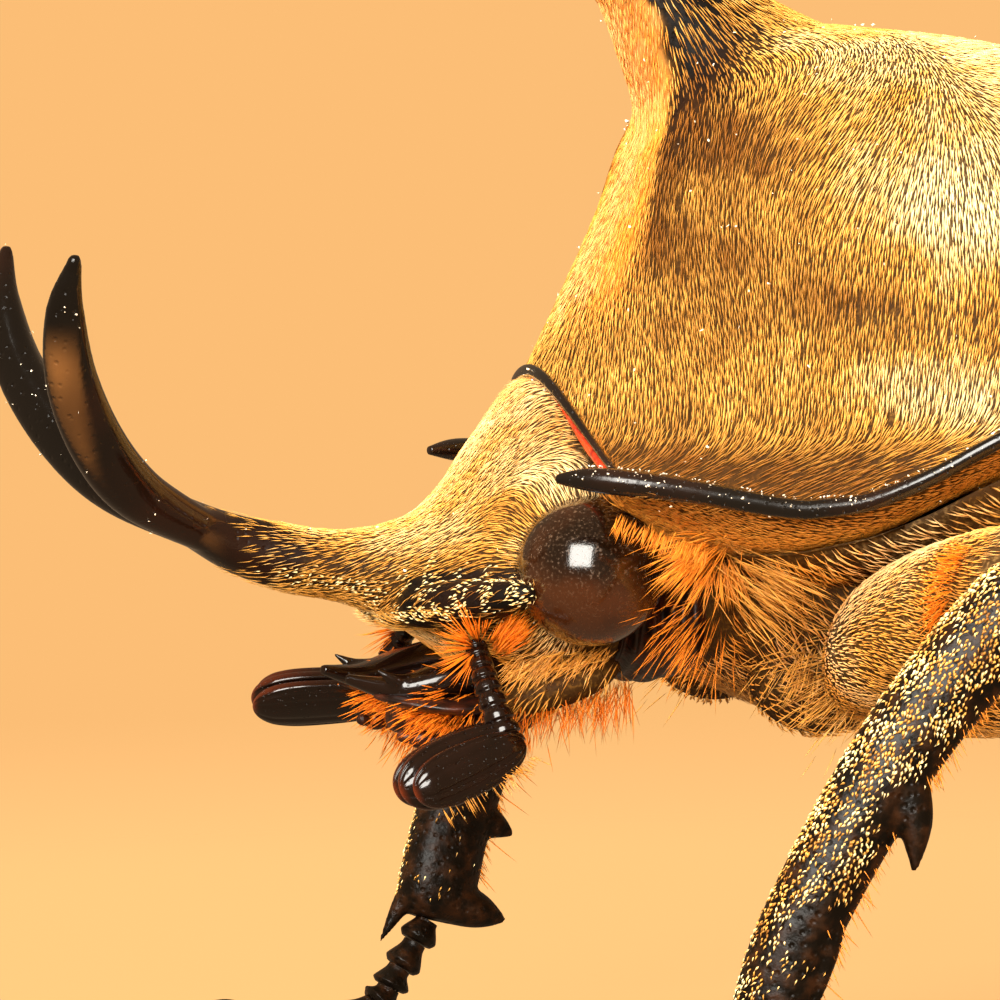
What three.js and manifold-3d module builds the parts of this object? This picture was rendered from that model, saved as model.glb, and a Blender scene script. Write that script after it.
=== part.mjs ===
// A rhinoceros beetle, male, life-size, standing still on six legs.
// Millimetres: +Z up, the floor at z = 0. The beetle faces -X, and its left side is at -Y.
// Each plate of its shell is one closed solid, made of rings of points and cut clear of its neighbours.
import * as THREE from "three";
import { mergeVertices } from "three/addons/utils/BufferGeometryUtils.js";
import Module from "manifold-3d";

const wasm = await Module();
wasm.setup();

// ---- driving dimensions ----
const gap = 0.2; // clearance between neighbouring plates
const wallThickness = 1.1; // wing cases
const wallClearance = 0.4; // between the wing cases and the body under them
const rimDepth = 2.0; // how far the wing cases turn under at the side
const grooveDepth = 0.35; // between the rings of the belly
const bellyRings = 5;
const eye = { x: 0.6, y: 5.6, z: 18.3, radius: 2.45 };
const claw = { length: 2.5, spread: 1.3, thickness: 0.62 };
const spurSize = { length: 1.9, radius: 0.33, lean: 0.35 }; // of the shin's half width
const soleHeight = 0.55; // of the last foot joint's middle line; the floor cuts a flat under it
const room = { long: 300, wide: 60, high: 120 }; // more than the beetle fills, for cutting it in half
const fullTurn = 2 * Math.PI;

// How many points go round each solid, and how many rings it has.
const facets = {
  head: [16, 8],
  eye: [10, 8],
  hornStem: [12, 6],
  tine: [7, 8],
  crestHorn: [10, 6],
  cornerHorn: [6, 5],
  pronotum: [20, 12],
  wings: [18, 10],
  breast: [18, 5],
  hindBreast: [18, 6],
  belly: [18, bellyRings * 2 + 1],
  rump: [14, 4],
  neck: [7, 3],
  scutellum: [8, 5],
  lip: [8, 4],
  jaw: [6, 4],
  lobe: [6, 3],
  palp: [6, 4],
  leaf: [6, 4],
  coxa: [8, 5],
  thigh: [8, 6],
  shin: [6, 7],
  claw: [5, 4],
  spike: [5, 3],
  beadRound: 6,
  footRound: 6,
};

// ---- finishes ----
const finish = (color, roughness) => new THREE.MeshStandardMaterial({ color, roughness, metalness: 0 });
const finishes = {
  coat: finish(0xc8913c, 0.8), // short golden velvet over dark shell
  horn: finish(0x16100c, 0.2), // bare, polished shell
  leg: finish(0x2a2017, 0.35),
  eye: finish(0x2b1714, 0.1),
  antenna: finish(0x2a130a, 0.2),
  mouth: finish(0x4a2010, 0.5),
};

// ---- smooth values, rings and solids ----
const vec = (x, y, z) => new THREE.Vector3(x, y, z);
const mix = (a, b, share) => a + (b - a) * share;
const rounded = (value, power) => Math.sign(value) * Math.abs(value) ** power;

// The row of numbers at t, from 0 to 1, on the smooth curve through evenly spaced rows.
function between(rows, t) {
  const last = rows.length - 1;
  const s = Math.max(0, Math.min(t * last, last - 1e-9));
  const i = Math.floor(s);
  const f = s - i;
  const row = (k) => rows[Math.max(0, Math.min(last, k))];
  return row(i).map((_, c) => {
    const [p, q, r, n] = [row(i - 1)[c], row(i)[c], row(i + 1)[c], row(i + 2)[c]];
    return q + 0.5 * f * (r - p + f * (2 * p - 5 * q + 4 * r - n + f * (3 * (q - r) + n - p)));
  });
}

// A closed solid over a run of rings. place(t, angle) gives a point of the ring at t. Fans close the ends.
function loft([around, rings], place) {
  const geometry = new THREE.SphereGeometry(1, around, rings + 1);
  const spots = geometry.getAttribute("position");
  for (let k = 0; k <= rings + 1; k++) {
    const t = (Math.max(1, Math.min(rings, k)) - 1) / (rings - 1);
    const points = Array.from({ length: around }, (_, i) => place(t, (i / around) * fullTurn));
    const centre = points.reduce((sum, p) => sum.add(p), vec(0, 0, 0)).divideScalar(around);
    const isEnd = k === 0 || k > rings;
    for (let i = 0; i <= around; i++) {
      const p = isEnd ? centre : points[i % around];
      spots.setXYZ(k * (around + 1) + i, p.x, p.y, p.z);
    }
  }
  return solid(geometry);
}

function solid(geometry) {
  geometry.deleteAttribute("normal");
  geometry.deleteAttribute("uv");
  const merged = mergeVertices(geometry, 1e-4);
  const vertProperties = merged.getAttribute("position").array;
  const triVerts = new Uint32Array(merged.index.array);
  const made = new wasm.Manifold(new wasm.Mesh({ numProp: 3, vertProperties, triVerts }));
  if (made.volume() > 0) return made;
  triVerts.reverse(); // the rings ran the other way round
  return new wasm.Manifold(new wasm.Mesh({ numProp: 3, vertProperties, triVerts }));
}

function geometryOf(made) {
  const mesh = made.getMesh();
  return new THREE.BufferGeometry()
    .setAttribute("position", new THREE.BufferAttribute(new Float32Array(mesh.vertProperties), 3))
    .setIndex(new THREE.BufferAttribute(new Uint32Array(mesh.triVerts), 1));
}

// The solid with its whole surface moved out by a distance.
function grown(made, by = gap) {
  const geometry = geometryOf(made);
  geometry.computeVertexNormals();
  const spots = geometry.getAttribute("position");
  const normals = geometry.getAttribute("normal");
  for (let i = 0; i < spots.count; i++) {
    const p = vec().fromBufferAttribute(spots, i).addScaledVector(vec().fromBufferAttribute(normals, i), by);
    spots.setXYZ(i, p.x, p.y, p.z);
  }
  return solid(geometry);
}

const clearOf = (made, ...others) => others.reduce((left, other) => left.subtract(grown(other)), made);
const joined = (...pieces) => pieces.reduce((all, piece) => all.add(piece));
const mirrored = (made) => made.mirror([0, 1, 0]);
const block = (wide, deep, high, y, z) => solid(new THREE.BoxGeometry(wide, deep, high).translate(0, y, z));

// The largest body of a cut solid, without crumbs.
const whole = (made) => made.decompose().sort((a, b) => b.volume() - a.volume())[0];

// A limb: ellipses along a smooth path. A station is [x, y, z, half width, half depth].
// The width runs along `side`.
function limb(stations, side, size) {
  const step = 0.01;
  return loft(size, (t, angle) => {
    const [x, y, z, width, depth] = between(stations, t);
    const ahead = vec(...between(stations, Math.min(1, t + step)));
    const along = ahead.sub(vec(...between(stations, Math.max(0, t - step)))).normalize();
    const across = side.clone().addScaledVector(along, -side.dot(along)).normalize();
    const up = vec(0, 0, 0).crossVectors(along, across);
    return vec(x, y, z)
      .addScaledVector(across, width * Math.cos(angle))
      .addScaledVector(up, depth * Math.sin(angle));
  });
}

// A spike from `foot` to `tip`, whose middle is moved by `bend`.
function spike(foot, tip, radius, bend) {
  const middle = foot.clone().lerp(tip, 0.5).add(bend);
  const side = vec(0.3, 1, 0.2);
  const station = (p, size) => [...p.toArray(), radius * size, radius * size];
  return limb([station(foot, 1), station(middle, 0.72), station(tip, 0.12)], side, facets.spike);
}

// Rings across X: ellipses with their own top and bottom. Rows: x, half width, top, bottom.
function barrel(rows, size) {
  return loft(size, (t, angle) => {
    const [x, wide, top, bottom] = between(rows, t);
    const [middle, halfHeight] = [(top + bottom) / 2, (top - bottom) / 2];
    return vec(x, wide * Math.sin(angle), middle + halfHeight * Math.cos(angle));
  });
}

// ---- pronotum: the great shield behind the head ----
// Rows run from the front rim to the hind rim: the crest's x and z, the side margin's x, y and z,
// how bell-shaped the arch is, and how deep the fold under the margin.
const pronotumRows = [
  [0.0, 24.6, 1.0, 10.2, 21.2, 1.0, 1.0],
  [1.3, 27.4, 3.0, 11.9, 20.95, 0.9, 1.9],
  [2.7, 30.4, 5.0, 13.5, 20.8, 0.75, 2.5],
  [3.8, 33.2, 7.0, 14.9, 21.0, 0.6, 2.8],
  [5.4, 35.3, 9.0, 16.0, 21.9, 0.45, 3.0],
  [8.2, 36.3, 11.2, 16.9, 23.2, 0.35, 3.3],
  [11.5, 36.1, 13.6, 17.6, 24.4, 0.25, 3.8],
  [15.2, 35.7, 16.2, 18.0, 25.3, 0.2, 4.2],
  [19.0, 34.8, 19.2, 17.9, 25.8, 0.2, 4.4],
  [22.4, 33.2, 22.3, 17.2, 25.9, 0.2, 4.4],
];
// The hollow in its front face, between the two brow ridges.
const browDish = { depth: 0.5, halfWidth: 2.4, middle: 0.28, reach: 0.2 };

function pronotumPoint(t, angle) {
  const [xTop, zTop, xSide, ySide, zSide, bell, fold] = between(pronotumRows, t);
  const turn = angle > Math.PI ? angle - fullTurn : angle; // 0 on the crest, a quarter turn at either margin
  const share = Math.abs(turn) / (Math.PI / 2);
  const hand = Math.sign(turn);
  if (share > 1) {
    const inwards = ((share - 1) * Math.PI) / 2;
    return vec(xSide, -hand * ySide * Math.cos(inwards), zSide - fold * Math.sin(inwards));
  }
  const out = mix(Math.sin((share * Math.PI) / 2), share, bell);
  const height = mix(Math.cos((share * Math.PI) / 2), (1 + Math.cos(share * Math.PI)) / 2, bell);
  const y = ySide * out;
  const { depth, halfWidth, middle, reach } = browDish;
  const dish = depth * Math.exp(-((y / halfWidth) ** 2) - ((t - middle) / reach) ** 2);
  return vec(mix(xSide, xTop, height) + dish, -hand * y, mix(zSide, zTop, height));
}

// ---- head and its forked horn ----
// Rows run forward from inside the neck: x, half width, top, bottom.
const headRows = [
  [3.2, 5.0, 23.4, 15.0],
  [1.6, 5.8, 24.1, 14.0],
  [0.0, 6.1, 24.35, 13.6],
  [-1.4, 5.6, 22.8, 13.9],
  [-2.6, 4.6, 21.1, 14.8],
  [-3.8, 3.5, 20.0, 15.7],
  [-5.2, 2.2, 19.5, 16.6],
];
const hornRows = [
  [-5.2 - gap, 2.2, 19.5, 16.6],
  [-6.6, 1.6, 19.4, 17.0],
  [-8.6, 1.3, 19.7, 17.4],
  [-10.4, 1.2, 20.15, 18.05],
  [-12.0, 1.5, 20.75, 19.1],
];
// The left tine's middle line, with its half width and half depth.
const tineStations = [
  [-12.0, -0.75, 19.9, 0.75, 0.8],
  [-13.6, -1.6, 20.8, 0.95, 0.95],
  [-15.2, -3.1, 22.5, 0.9, 0.98],
  [-16.35, -4.7, 24.7, 0.75, 0.9],
  [-16.75, -5.8, 26.9, 0.6, 0.7],
  [-16.55, -6.4, 28.75, 0.2, 0.22],
];
const crestHornStations = [
  [7.6, 0, 33.4, 3.8, 3.8],
  [5.4, 0, 35.8, 2.7, 2.8],
  [3.9, 0, 37.7, 1.9, 2.0],
  [2.3, 0, 39.3, 1.3, 1.35],
  [1.0, 0, 40.4, 0.85, 0.85],
  [0.4, 0, 40.9, 0.3, 0.3],
];
const cornerHornStations = [
  [4.4, -12.2, 21.3, 0.6, 0.5],
  [1.9, -10.7, 21.3, 0.62, 0.55],
  [-0.2, -9.4, 21.5, 0.52, 0.48],
  [-1.35, -8.8, 21.5, 0.22, 0.22],
];

// ---- wing cases and the body under them ----
// Rows: x, half width, margin height, crest height.
const wingRows = [
  [22.65, 15.8, 25.3, 33.3],
  [25.6, 18.0, 24.4, 34.5],
  [30.0, 19.4, 23.0, 35.4],
  [36.0, 20.0, 21.6, 35.9],
  [43.0, 20.1, 20.4, 35.5],
  [50.0, 19.5, 19.3, 33.9],
  [56.0, 17.9, 18.3, 31.2],
  [61.0, 15.2, 17.4, 27.6],
  [65.0, 11.0, 16.8, 23.0],
  [67.6, 5.0, 16.5, 18.6],
];

// A point of the wing cases' outer face, or of a face `inset` inside it, which drops straight below its edge.
function wingPoint(t, angle, inset = 0) {
  const [x, wide, side, top] = between(wingRows, t);
  const up = Math.cos(angle);
  const y = (wide - inset) * rounded(Math.sin(angle), 0.9);
  const drop = inset ? side : rimDepth;
  return vec(x, y, up > 0 ? side + (top - inset - side) * up ** 0.92 : side + drop * up);
}

// How far along the wing cases x is, found by halving.
function wingShareAt(x) {
  let [low, high] = [0, 1];
  for (let turn = 0; turn < 30; turn++) {
    const middle = (low + high) / 2;
    if (between(wingRows, middle)[0] < x) low = middle;
    else high = middle;
  }
  return low;
}

// Rows of the underside: x, bottom height. Its back fits inside the wing cases.
const hindBreastRows = [
  [22.65, 13.2],
  [26.0, 12.2],
  [31.0, 11.4],
  [37.0, 11.2],
  [43.0, 11.8],
];
const bellyRows = [
  [43.2, 11.9],
  [48.0, 12.2],
  [53.0, 12.8],
  [58.0, 13.6],
  [62.0, 14.4],
  [64.4, 15.0],
];
function trunk(rows, size, isGrooved) {
  const inset = wallThickness + wallClearance;
  return loft(size, (t, angle) => {
    const [x, bottom] = between(rows, t);
    const up = Math.cos(angle);
    if (up > 0) return wingPoint(wingShareAt(x), angle, inset).setX(x);
    const [, wide, side] = between(wingRows, wingShareAt(x));
    const isGroove = isGrooved && Math.round(t * (size[1] - 1)) % 2 === 0;
    const depth = side - bottom - (isGroove ? grooveDepth : 0);
    return vec(x, (wide - inset) * rounded(Math.sin(angle), 0.85), side + depth * rounded(up, 0.8));
  });
}

// Rows of the breast: share along the pronotum that covers it, half width, height of its flank, bottom.
const breastRows = [
  [0.2, 6.4, 17.6, 15.0],
  [0.36, 8.6, 17.4, 13.6],
  [0.52, 10.4, 17.8, 12.7],
  [0.7, 12.4, 19.0, 12.4],
  [0.86, 14.0, 20.2, 12.5],
  [0.98, 15.0, 20.6, 12.9],
];
function breastPoint(t, angle) {
  const [share, wide, flank, bottom] = between(breastRows, t);
  const [, , x, ySide, zSide, , fold] = between(pronotumRows, share);
  const y = wide * rounded(Math.sin(angle), 0.8);
  const up = Math.cos(angle);
  if (up < 0) return vec(x, y, flank + (flank - bottom) * rounded(up, 0.85));
  const roof = zSide - fold * Math.sqrt(1 - (y / ySide) ** 2) - wallClearance;
  return vec(x, y, flank + (roof - flank) * rounded(up, 0.4));
}

// Rows: x, half width, top, bottom.
const rumpRows = [
  [64.7, 8.6, 20.4, 15.2],
  [66.0, 6.4, 18.8, 14.9],
  [67.2, 3.2, 17.3, 15.1],
];
const neckRows = [
  [2.4, 4.6, 18.5, 14.4],
  [3.6, 5.0, 18.8, 14.2],
  [5.6, 5.4, 18.8, 14.8],
];
const scutellumStations = [
  [22.7, 0, 33.2, 2.6, 0.8],
  [24.6, 0, 33.9, 2.4, 0.8],
  [26.4, 0, 34.5, 1.4, 0.7],
  [27.6, 0, 34.8, 0.3, 0.5],
];

// ---- mouth ----
const jawStations = [
  [-1.8, -2.6, 15.0, 1.0, 0.8],
  [-3.6, -3.0, 14.9, 1.05, 0.7],
  [-5.2, -2.5, 14.8, 0.8, 0.5],
  [-6.5, -1.3, 15.2, 0.22, 0.2],
];
const lipRows = [
  [-0.4, 2.4, 14.4, 12.6],
  [-2.2, 2.3, 14.2, 12.2],
  [-3.8, 1.6, 13.9, 12.3],
  [-4.8, 0.7, 13.5, 12.7],
];
const lobeStations = [
  [-0.8, -3.5, 14.0, 0.8, 0.8],
  [-2.4, -3.4, 13.0, 0.75, 0.7],
  [-3.8, -2.9, 12.6, 0.5, 0.45],
];
const palpStations = [
  [-2.0, -3.6, 13.0, 0.4, 0.4],
  [-3.4, -3.7, 12.3, 0.42, 0.42],
  [-4.7, -3.2, 12.3, 0.36, 0.36],
  [-5.4, -2.7, 12.5, 0.2, 0.2],
];

// ---- feelers ----
// The stalk is a row of beads on a bent line, and the club is three leaves, one beside another.
const beads = 6;
const leafShift = 0.55;
function feeler({ root, elbow, wrist, tip, lean }) {
  const path = new THREE.CatmullRomCurve3([root, elbow, wrist]);
  const stations = [];
  for (let i = 0; i <= beads * 2; i++) {
    const share = i / (beads * 2);
    const size = (i % 2 ? 0.56 : 0.4) * mix(0.9, 1.25, share);
    stations.push([...path.getPoint(share).toArray(), size, size]);
  }
  const leaf = (shift, reach) => {
    const from = wrist.clone().addScaledVector(lean, shift);
    const to = tip.clone().addScaledVector(lean, shift * 1.15);
    const at = (share, high, thick) => [...from.clone().lerp(to, share).toArray(), thick, high * reach];
    const outline = [at(-0.08, 0.4, 0.25), at(0.3, 1.1, 0.36), at(0.75, 1.1, 0.36), at(1, 0.4, 0.22)];
    return limb(outline, lean, facets.leaf);
  };
  return {
    stalk: limb(stations, vec(0.2, 1, 0), [facets.beadRound, stations.length]),
    club: joined(leaf(-leafShift, 1), leaf(0, 1.04), leaf(leafShift, 0.92)),
  };
}
const feelers = {
  left: feeler({
    root: vec(-3.0, -4.6, 15.9),
    elbow: vec(-2.9, -5.8, 14.6),
    wrist: vec(-2.0, -6.6, 12.8),
    tip: vec(-6.0, -7.3, 11.2),
    lean: vec(-0.15, -0.95, 0.1).normalize(),
  }),
  right: feeler({
    root: vec(-3.0, 4.6, 15.9),
    elbow: vec(-3.4, 5.7, 14.7),
    wrist: vec(-3.8, 6.1, 13.4),
    tip: vec(-7.6, 6.8, 13.2),
    lean: vec(-0.2, 0.75, 0.6).normalize(),
  }),
};

// ---- legs ----
// Each leg: hip, knee and ankle, the foot's way to its claws, half thicknesses, how far the shin bows
// forward, where its teeth point, and the teeth: [share of the shin, length, lean along the shin].
const foreTeeth = {
  left: [[0.47, 2.4, 1.15], [0.76, 1.7, 1.3], [0.93, 2.0, 1]],
  right: [[0.47, 1.8, 0.1], [0.77, 2.2, 0.1], [0.95, 2.8, 0]],
};
const backTeeth = [[0.5, 1.5, 0.8], [0.92, 2.0, 1.3]];
const legs = {
  fore_left: {
    hip: vec(8.2, -6.6, 15.0),
    knee: vec(10.3, -22.5, 19.5),
    ankle: vec(1.6, -21.9, 3.9),
    foot: [vec(0.4, -22.0, 2.4), vec(-1.9, -22.3, 0.85), vec(-6.4, -22.8, soleHeight)],
    coxa: [2.4, 3.2, 2.2],
    thigh: 2.8,
    shin: 1.25,
    bow: 1.45,
    toothWay: vec(0.8, -0.5, -0.4),
    teeth: foreTeeth.left,
  },
  fore_right: {
    hip: vec(8.2, 6.6, 15.0),
    knee: vec(7.3, 20.6, 20.2),
    ankle: vec(0.85, 18.3, 4.0),
    foot: [vec(-0.3, 18.1, 2.2), vec(-1.6, 17.9, 0.85), vec(-5.8, 17.3, soleHeight)],
    coxa: [2.4, 3.2, 2.2],
    thigh: 2.7,
    shin: 1.4,
    bow: 0.5,
    toothWay: vec(0.93, -0.1, -0.37),
    teeth: foreTeeth.right,
  },
};
const backLegs = {
  mid: {
    hip: vec(27.2, -8.4, 12.9),
    knee: vec(33.0, -24.4, 19.2),
    ankle: vec(38.6, -30.6, 5.2),
    foot: [vec(39.8, -31.4, 3.2), vec(42.2, -32.8, 0.95), vec(46.6, -34.8, soleHeight)],
    coxa: [2.8, 4.2, 2.3],
    thigh: 2.9,
    shin: 1.4,
    bow: 0.5,
    toothWay: vec(0.5, 0.55, -0.1),
  },
  hind: {
    hip: vec(38.4, -7.8, 12.7),
    knee: vec(48.4, -23.6, 17.6),
    ankle: vec(57.4, -27.2, 5.2),
    foot: [vec(58.8, -27.9, 3.1), vec(61.6, -29.2, 0.95), vec(66.2, -30.8, soleHeight)],
    coxa: [2.8, 5.0, 2.2],
    thigh: 3.3,
    shin: 1.6,
    bow: 0.5,
    toothWay: vec(0.3, 0.65, -0.1),
  },
};
// How far the right middle and hind feet stand from the mirror of the left ones.
const stagger = vec(-2.4, 1.6, 0);
for (const [pair, leg] of Object.entries(backLegs)) {
  const flip = (p, share = 0) => vec(p.x, -p.y, p.z).addScaledVector(stagger, share);
  legs[pair + "_left"] = { ...leg, teeth: backTeeth };
  legs[pair + "_right"] = {
    ...leg,
    hip: flip(leg.hip),
    knee: flip(leg.knee, 0.35),
    ankle: flip(leg.ankle, 0.9),
    foot: leg.foot.map((p) => flip(p, 1)),
    toothWay: flip(leg.toothWay),
    teeth: backTeeth,
  };
}

const outOf = (hip) => vec(0.15, Math.sign(hip.y), 0.1).normalize();

function coxaOf({ hip, coxa }) {
  const [wide, reach, deep] = coxa;
  const at = (share, size) => {
    const p = hip.clone().addScaledVector(outOf(hip), reach * share);
    return [...p.toArray(), wide * size, deep * size];
  };
  return limb([at(-1, 0.35), at(-0.4, 0.92), at(0.4, 0.92), at(1, 0.5)], vec(1, 0, 0), facets.coxa);
}

function thighOf({ hip, knee, coxa, thigh }) {
  const start = hip.clone().addScaledVector(outOf(hip), coxa[1] + wallClearance);
  const at = (share, size, drop = 0) => {
    const p = start.clone().lerp(knee, share);
    return [p.x, p.y, p.z - drop, thigh * size, thigh * size * 0.78];
  };
  const root = start.clone().addScaledVector(outOf(hip), 0.6);
  const stations = [
    [...start.toArray(), thigh * 0.5, thigh * 0.4],
    [...root.toArray(), thigh * 0.66, thigh * 0.55],
    at(0.28, 0.98, 0.25),
    at(0.62, 0.92, 0.2),
    at(0.9, 0.66),
    at(1.03, 0.4),
  ];
  return limb(stations, vec(1, 0, 0.5).normalize(), facets.thigh);
}

// The part of a direction that is square to `along`.
const squareTo = (along, way) => way.clone().addScaledVector(along, -way.dot(along)).normalize();

function shinOf({ knee, ankle, shin, bow, teeth, toothWay }) {
  const down = ankle.clone().sub(knee);
  const length = down.length();
  down.normalize();
  const way = squareTo(down, toothWay);
  const front = squareTo(down, vec(-1, 0, 0));
  const centre = (share) => {
    const bowed = bow * Math.max(0, Math.sin(Math.PI * share ** 1.3));
    return knee.clone().addScaledVector(down, length * share).addScaledVector(front, bowed);
  };
  const at = (share, size) => [...centre(share).toArray(), shin * size, shin * size * 0.82];
  const stations = [at(0, 0.55), at(0.1, 1.06), at(0.4, 1.04), at(0.75, 0.96), at(0.94, 0.96), at(1, 0.6)];
  const toothAt = ([share, reach, lean]) => {
    const foot = centre(share);
    const out = way.clone().multiplyScalar(reach * 0.75 + shin * 0.5);
    const tip = foot.clone().add(out).addScaledVector(down, reach * lean * 0.6);
    return spike(foot, tip, 0.3 + reach * 0.22, way.clone().multiplyScalar(reach * 0.12));
  };
  const spurFoot = centre(0.93).addScaledVector(way, -shin * 0.55);
  const spurTip = spurFoot
    .clone()
    .addScaledVector(down, shin * spurSize.length)
    .addScaledVector(way, -shin * spurSize.lean);
  const spur = spike(spurFoot, spurTip, shin * spurSize.radius, vec(0, 0, 0));
  return joined(limb(stations, way, facets.shin), ...teeth.map(toothAt), spur);
}

// Five joints, each wider at its far end, the last one longest.
const footJoints = [0.02, 0.17, 0.32, 0.47, 0.62, 1];
function footOf({ ankle, foot }) {
  const path = new THREE.CatmullRomCurve3([ankle, ...foot]);
  const stations = [];
  footJoints.slice(0, -1).forEach((from, i) => {
    for (const [share, size] of [[0.08, 0.46], [0.85, 0.82]]) {
      stations.push([...path.getPoint(mix(from, footJoints[i + 1], share)).toArray(), size, size * 0.95]);
    }
  });
  return limb(stations, vec(0, 1, 0.01), [facets.footRound, stations.length]);
}

function clawsOf({ foot }) {
  const end = foot[2];
  const ahead = end.clone().sub(foot[1]).setZ(0).normalize();
  const beside = vec(-ahead.y, ahead.x, 0);
  const { length, spread, thickness } = claw;
  const oneClaw = (hand) => {
    const at = (share, out, z, size) => {
      const p = end
        .clone()
        .addScaledVector(ahead, length * share)
        .addScaledVector(beside, hand * spread * out);
      return [p.x, p.y, z, (thickness / 2) * size, (thickness / 2) * size];
    };
    return limb(
      [at(-0.1, 0.1, 0.6, 1.2), at(0.35, 0.4, 1.05, 1.1), at(0.75, 0.85, 0.75, 0.85), at(1, 1, 0.12, 0.3)],
      vec(0, 0, 1).addScaledVector(ahead, 0.5).normalize(),
      facets.claw,
    );
  };
  return joined(oneClaw(1), oneClaw(-1));
}

// ---- the plates, each cut clear of what it meets ----
const plates = [];
const add = (name, made, slot) => plates.push({ name, made: whole(made), slot });

const floorBlock = block(room.long, room.long, room.wide, 0, -room.wide / 2);
const halfSpace = (sign) => {
  return block(room.long, room.wide, room.high, (sign * (room.wide + gap)) / 2, 0);
};

const sideways = vec(0, 1, 0);
const straight = vec(0, 0, 0);
const head = barrel(headRows, facets.head);
const pronotum = loft(facets.pronotum, pronotumPoint);
const hornStem = barrel(hornRows, facets.hornStem);
const crestHorn = limb(crestHornStations, sideways, facets.crestHorn);
add("head", clearOf(head, pronotum), "coat");
add("horn_stem", hornStem, "horn");
add("pronotum", pronotum, "coat");
add("crest_horn", clearOf(crestHorn, pronotum), "horn");

const neck = barrel(neckRows, facets.neck);
const breast = loft(facets.breast, breastPoint);
const hindBreast = trunk(hindBreastRows, facets.hindBreast, false);
const belly = trunk(bellyRows, facets.belly, true);
const rump = barrel(rumpRows, facets.rump);
const scutellum = clearOf(limb(scutellumStations, sideways, facets.scutellum), pronotum, hindBreast);
add("neck", clearOf(neck, head, pronotum, breast), "mouth");
add("prosternum", breast, "coat");
add("metasternum", hindBreast, "coat");
add("abdomen", belly, "coat");
add("pygidium", rump, "coat");
add("scutellum", scutellum, "coat");

// The wing cases: one hollow shell, open below, parted along the middle.
const hollow = loft(facets.wings, (t, angle) => {
  const p = wingPoint(t * 0.97, angle, wallThickness);
  return t === 0 ? p.setX(p.x - 1) : p;
});
const shell = loft(facets.wings, (t, angle) => wingPoint(t, angle)).subtract(hollow);
const wings = clearOf(shell, rump, scutellum);

const lip = barrel(lipRows, facets.lip);
const jawTooth = spike(vec(-4.2, -3.1, 15.0), vec(-6.0, -3.3, 15.7), 0.45, straight);
const jaw = joined(limb(jawStations, sideways, facets.jaw), jawTooth);
const lobe = joined(limb(lobeStations, sideways, facets.lobe), limb(palpStations, sideways, facets.palp));
add("labium", clearOf(lip, head), "mouth");

const tine = limb(tineStations, sideways, facets.tine);
const cornerHorn = limb(cornerHornStations, vec(0, 0, 1), facets.cornerHorn);
for (const [hand, sign] of [["left", -1], ["right", 1]]) {
  const onHand = (made) => (sign < 0 ? made : mirrored(made));
  const { stalk, club } = feelers[hand];
  const mouth = [onHand(jaw), onHand(lobe)];
  const ball = new THREE.SphereGeometry(eye.radius, ...facets.eye).rotateX(Math.PI / 2);
  const eyeball = clearOf(solid(ball.translate(eye.x, sign * eye.y, eye.z)), head, pronotum);
  add("horn_tine_" + hand, clearOf(onHand(tine), hornStem).intersect(halfSpace(sign)), "horn");
  add("corner_horn_" + hand, clearOf(onHand(cornerHorn), pronotum, eyeball, head), "horn");
  add("eye_" + hand, eyeball, "eye");
  add("mandible_" + hand, clearOf(mouth[0], head, lip), "horn");
  add("maxilla_" + hand, clearOf(mouth[1], head, lip, mouth[0]), "mouth");
  add("antenna_stalk_" + hand, clearOf(stalk, head, eyeball, ...mouth), "antenna");
  add("antenna_club_" + hand, clearOf(club, stalk), "antenna");
  add("elytron_" + hand, wings.intersect(halfSpace(sign)), "coat");
}

for (const [name, leg] of Object.entries(legs)) {
  const [thigh, shin, foot] = [thighOf(leg), shinOf(leg), footOf(leg)];
  const under = name.startsWith("fore") ? [breast] : [hindBreast, belly];
  add("coxa_" + name, clearOf(coxaOf(leg), ...under), "coat");
  add("femur_" + name, clearOf(thigh, ...under), "coat");
  add("tibia_" + name, clearOf(shin, thigh), "leg");
  add("tarsus_" + name, clearOf(foot, shin).subtract(floorBlock), "leg");
  add("claws_" + name, clearOf(clawsOf(leg), foot), "horn");
}

// ---- the beetle, set on the floor with its origin under its middle ----
const beetle = new THREE.Group();
for (const { name, made, slot } of plates) {
  const mesh = new THREE.Mesh(geometryOf(made), finishes[slot]);
  mesh.name = name;
  beetle.add(mesh);
}
const bounds = new THREE.Box3().setFromObject(beetle);
const middle = bounds.getCenter(vec(0, 0, 0));
beetle.position.set(-middle.x, -middle.y, -bounds.min.z);

export default beetle;
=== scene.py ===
import math

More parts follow.
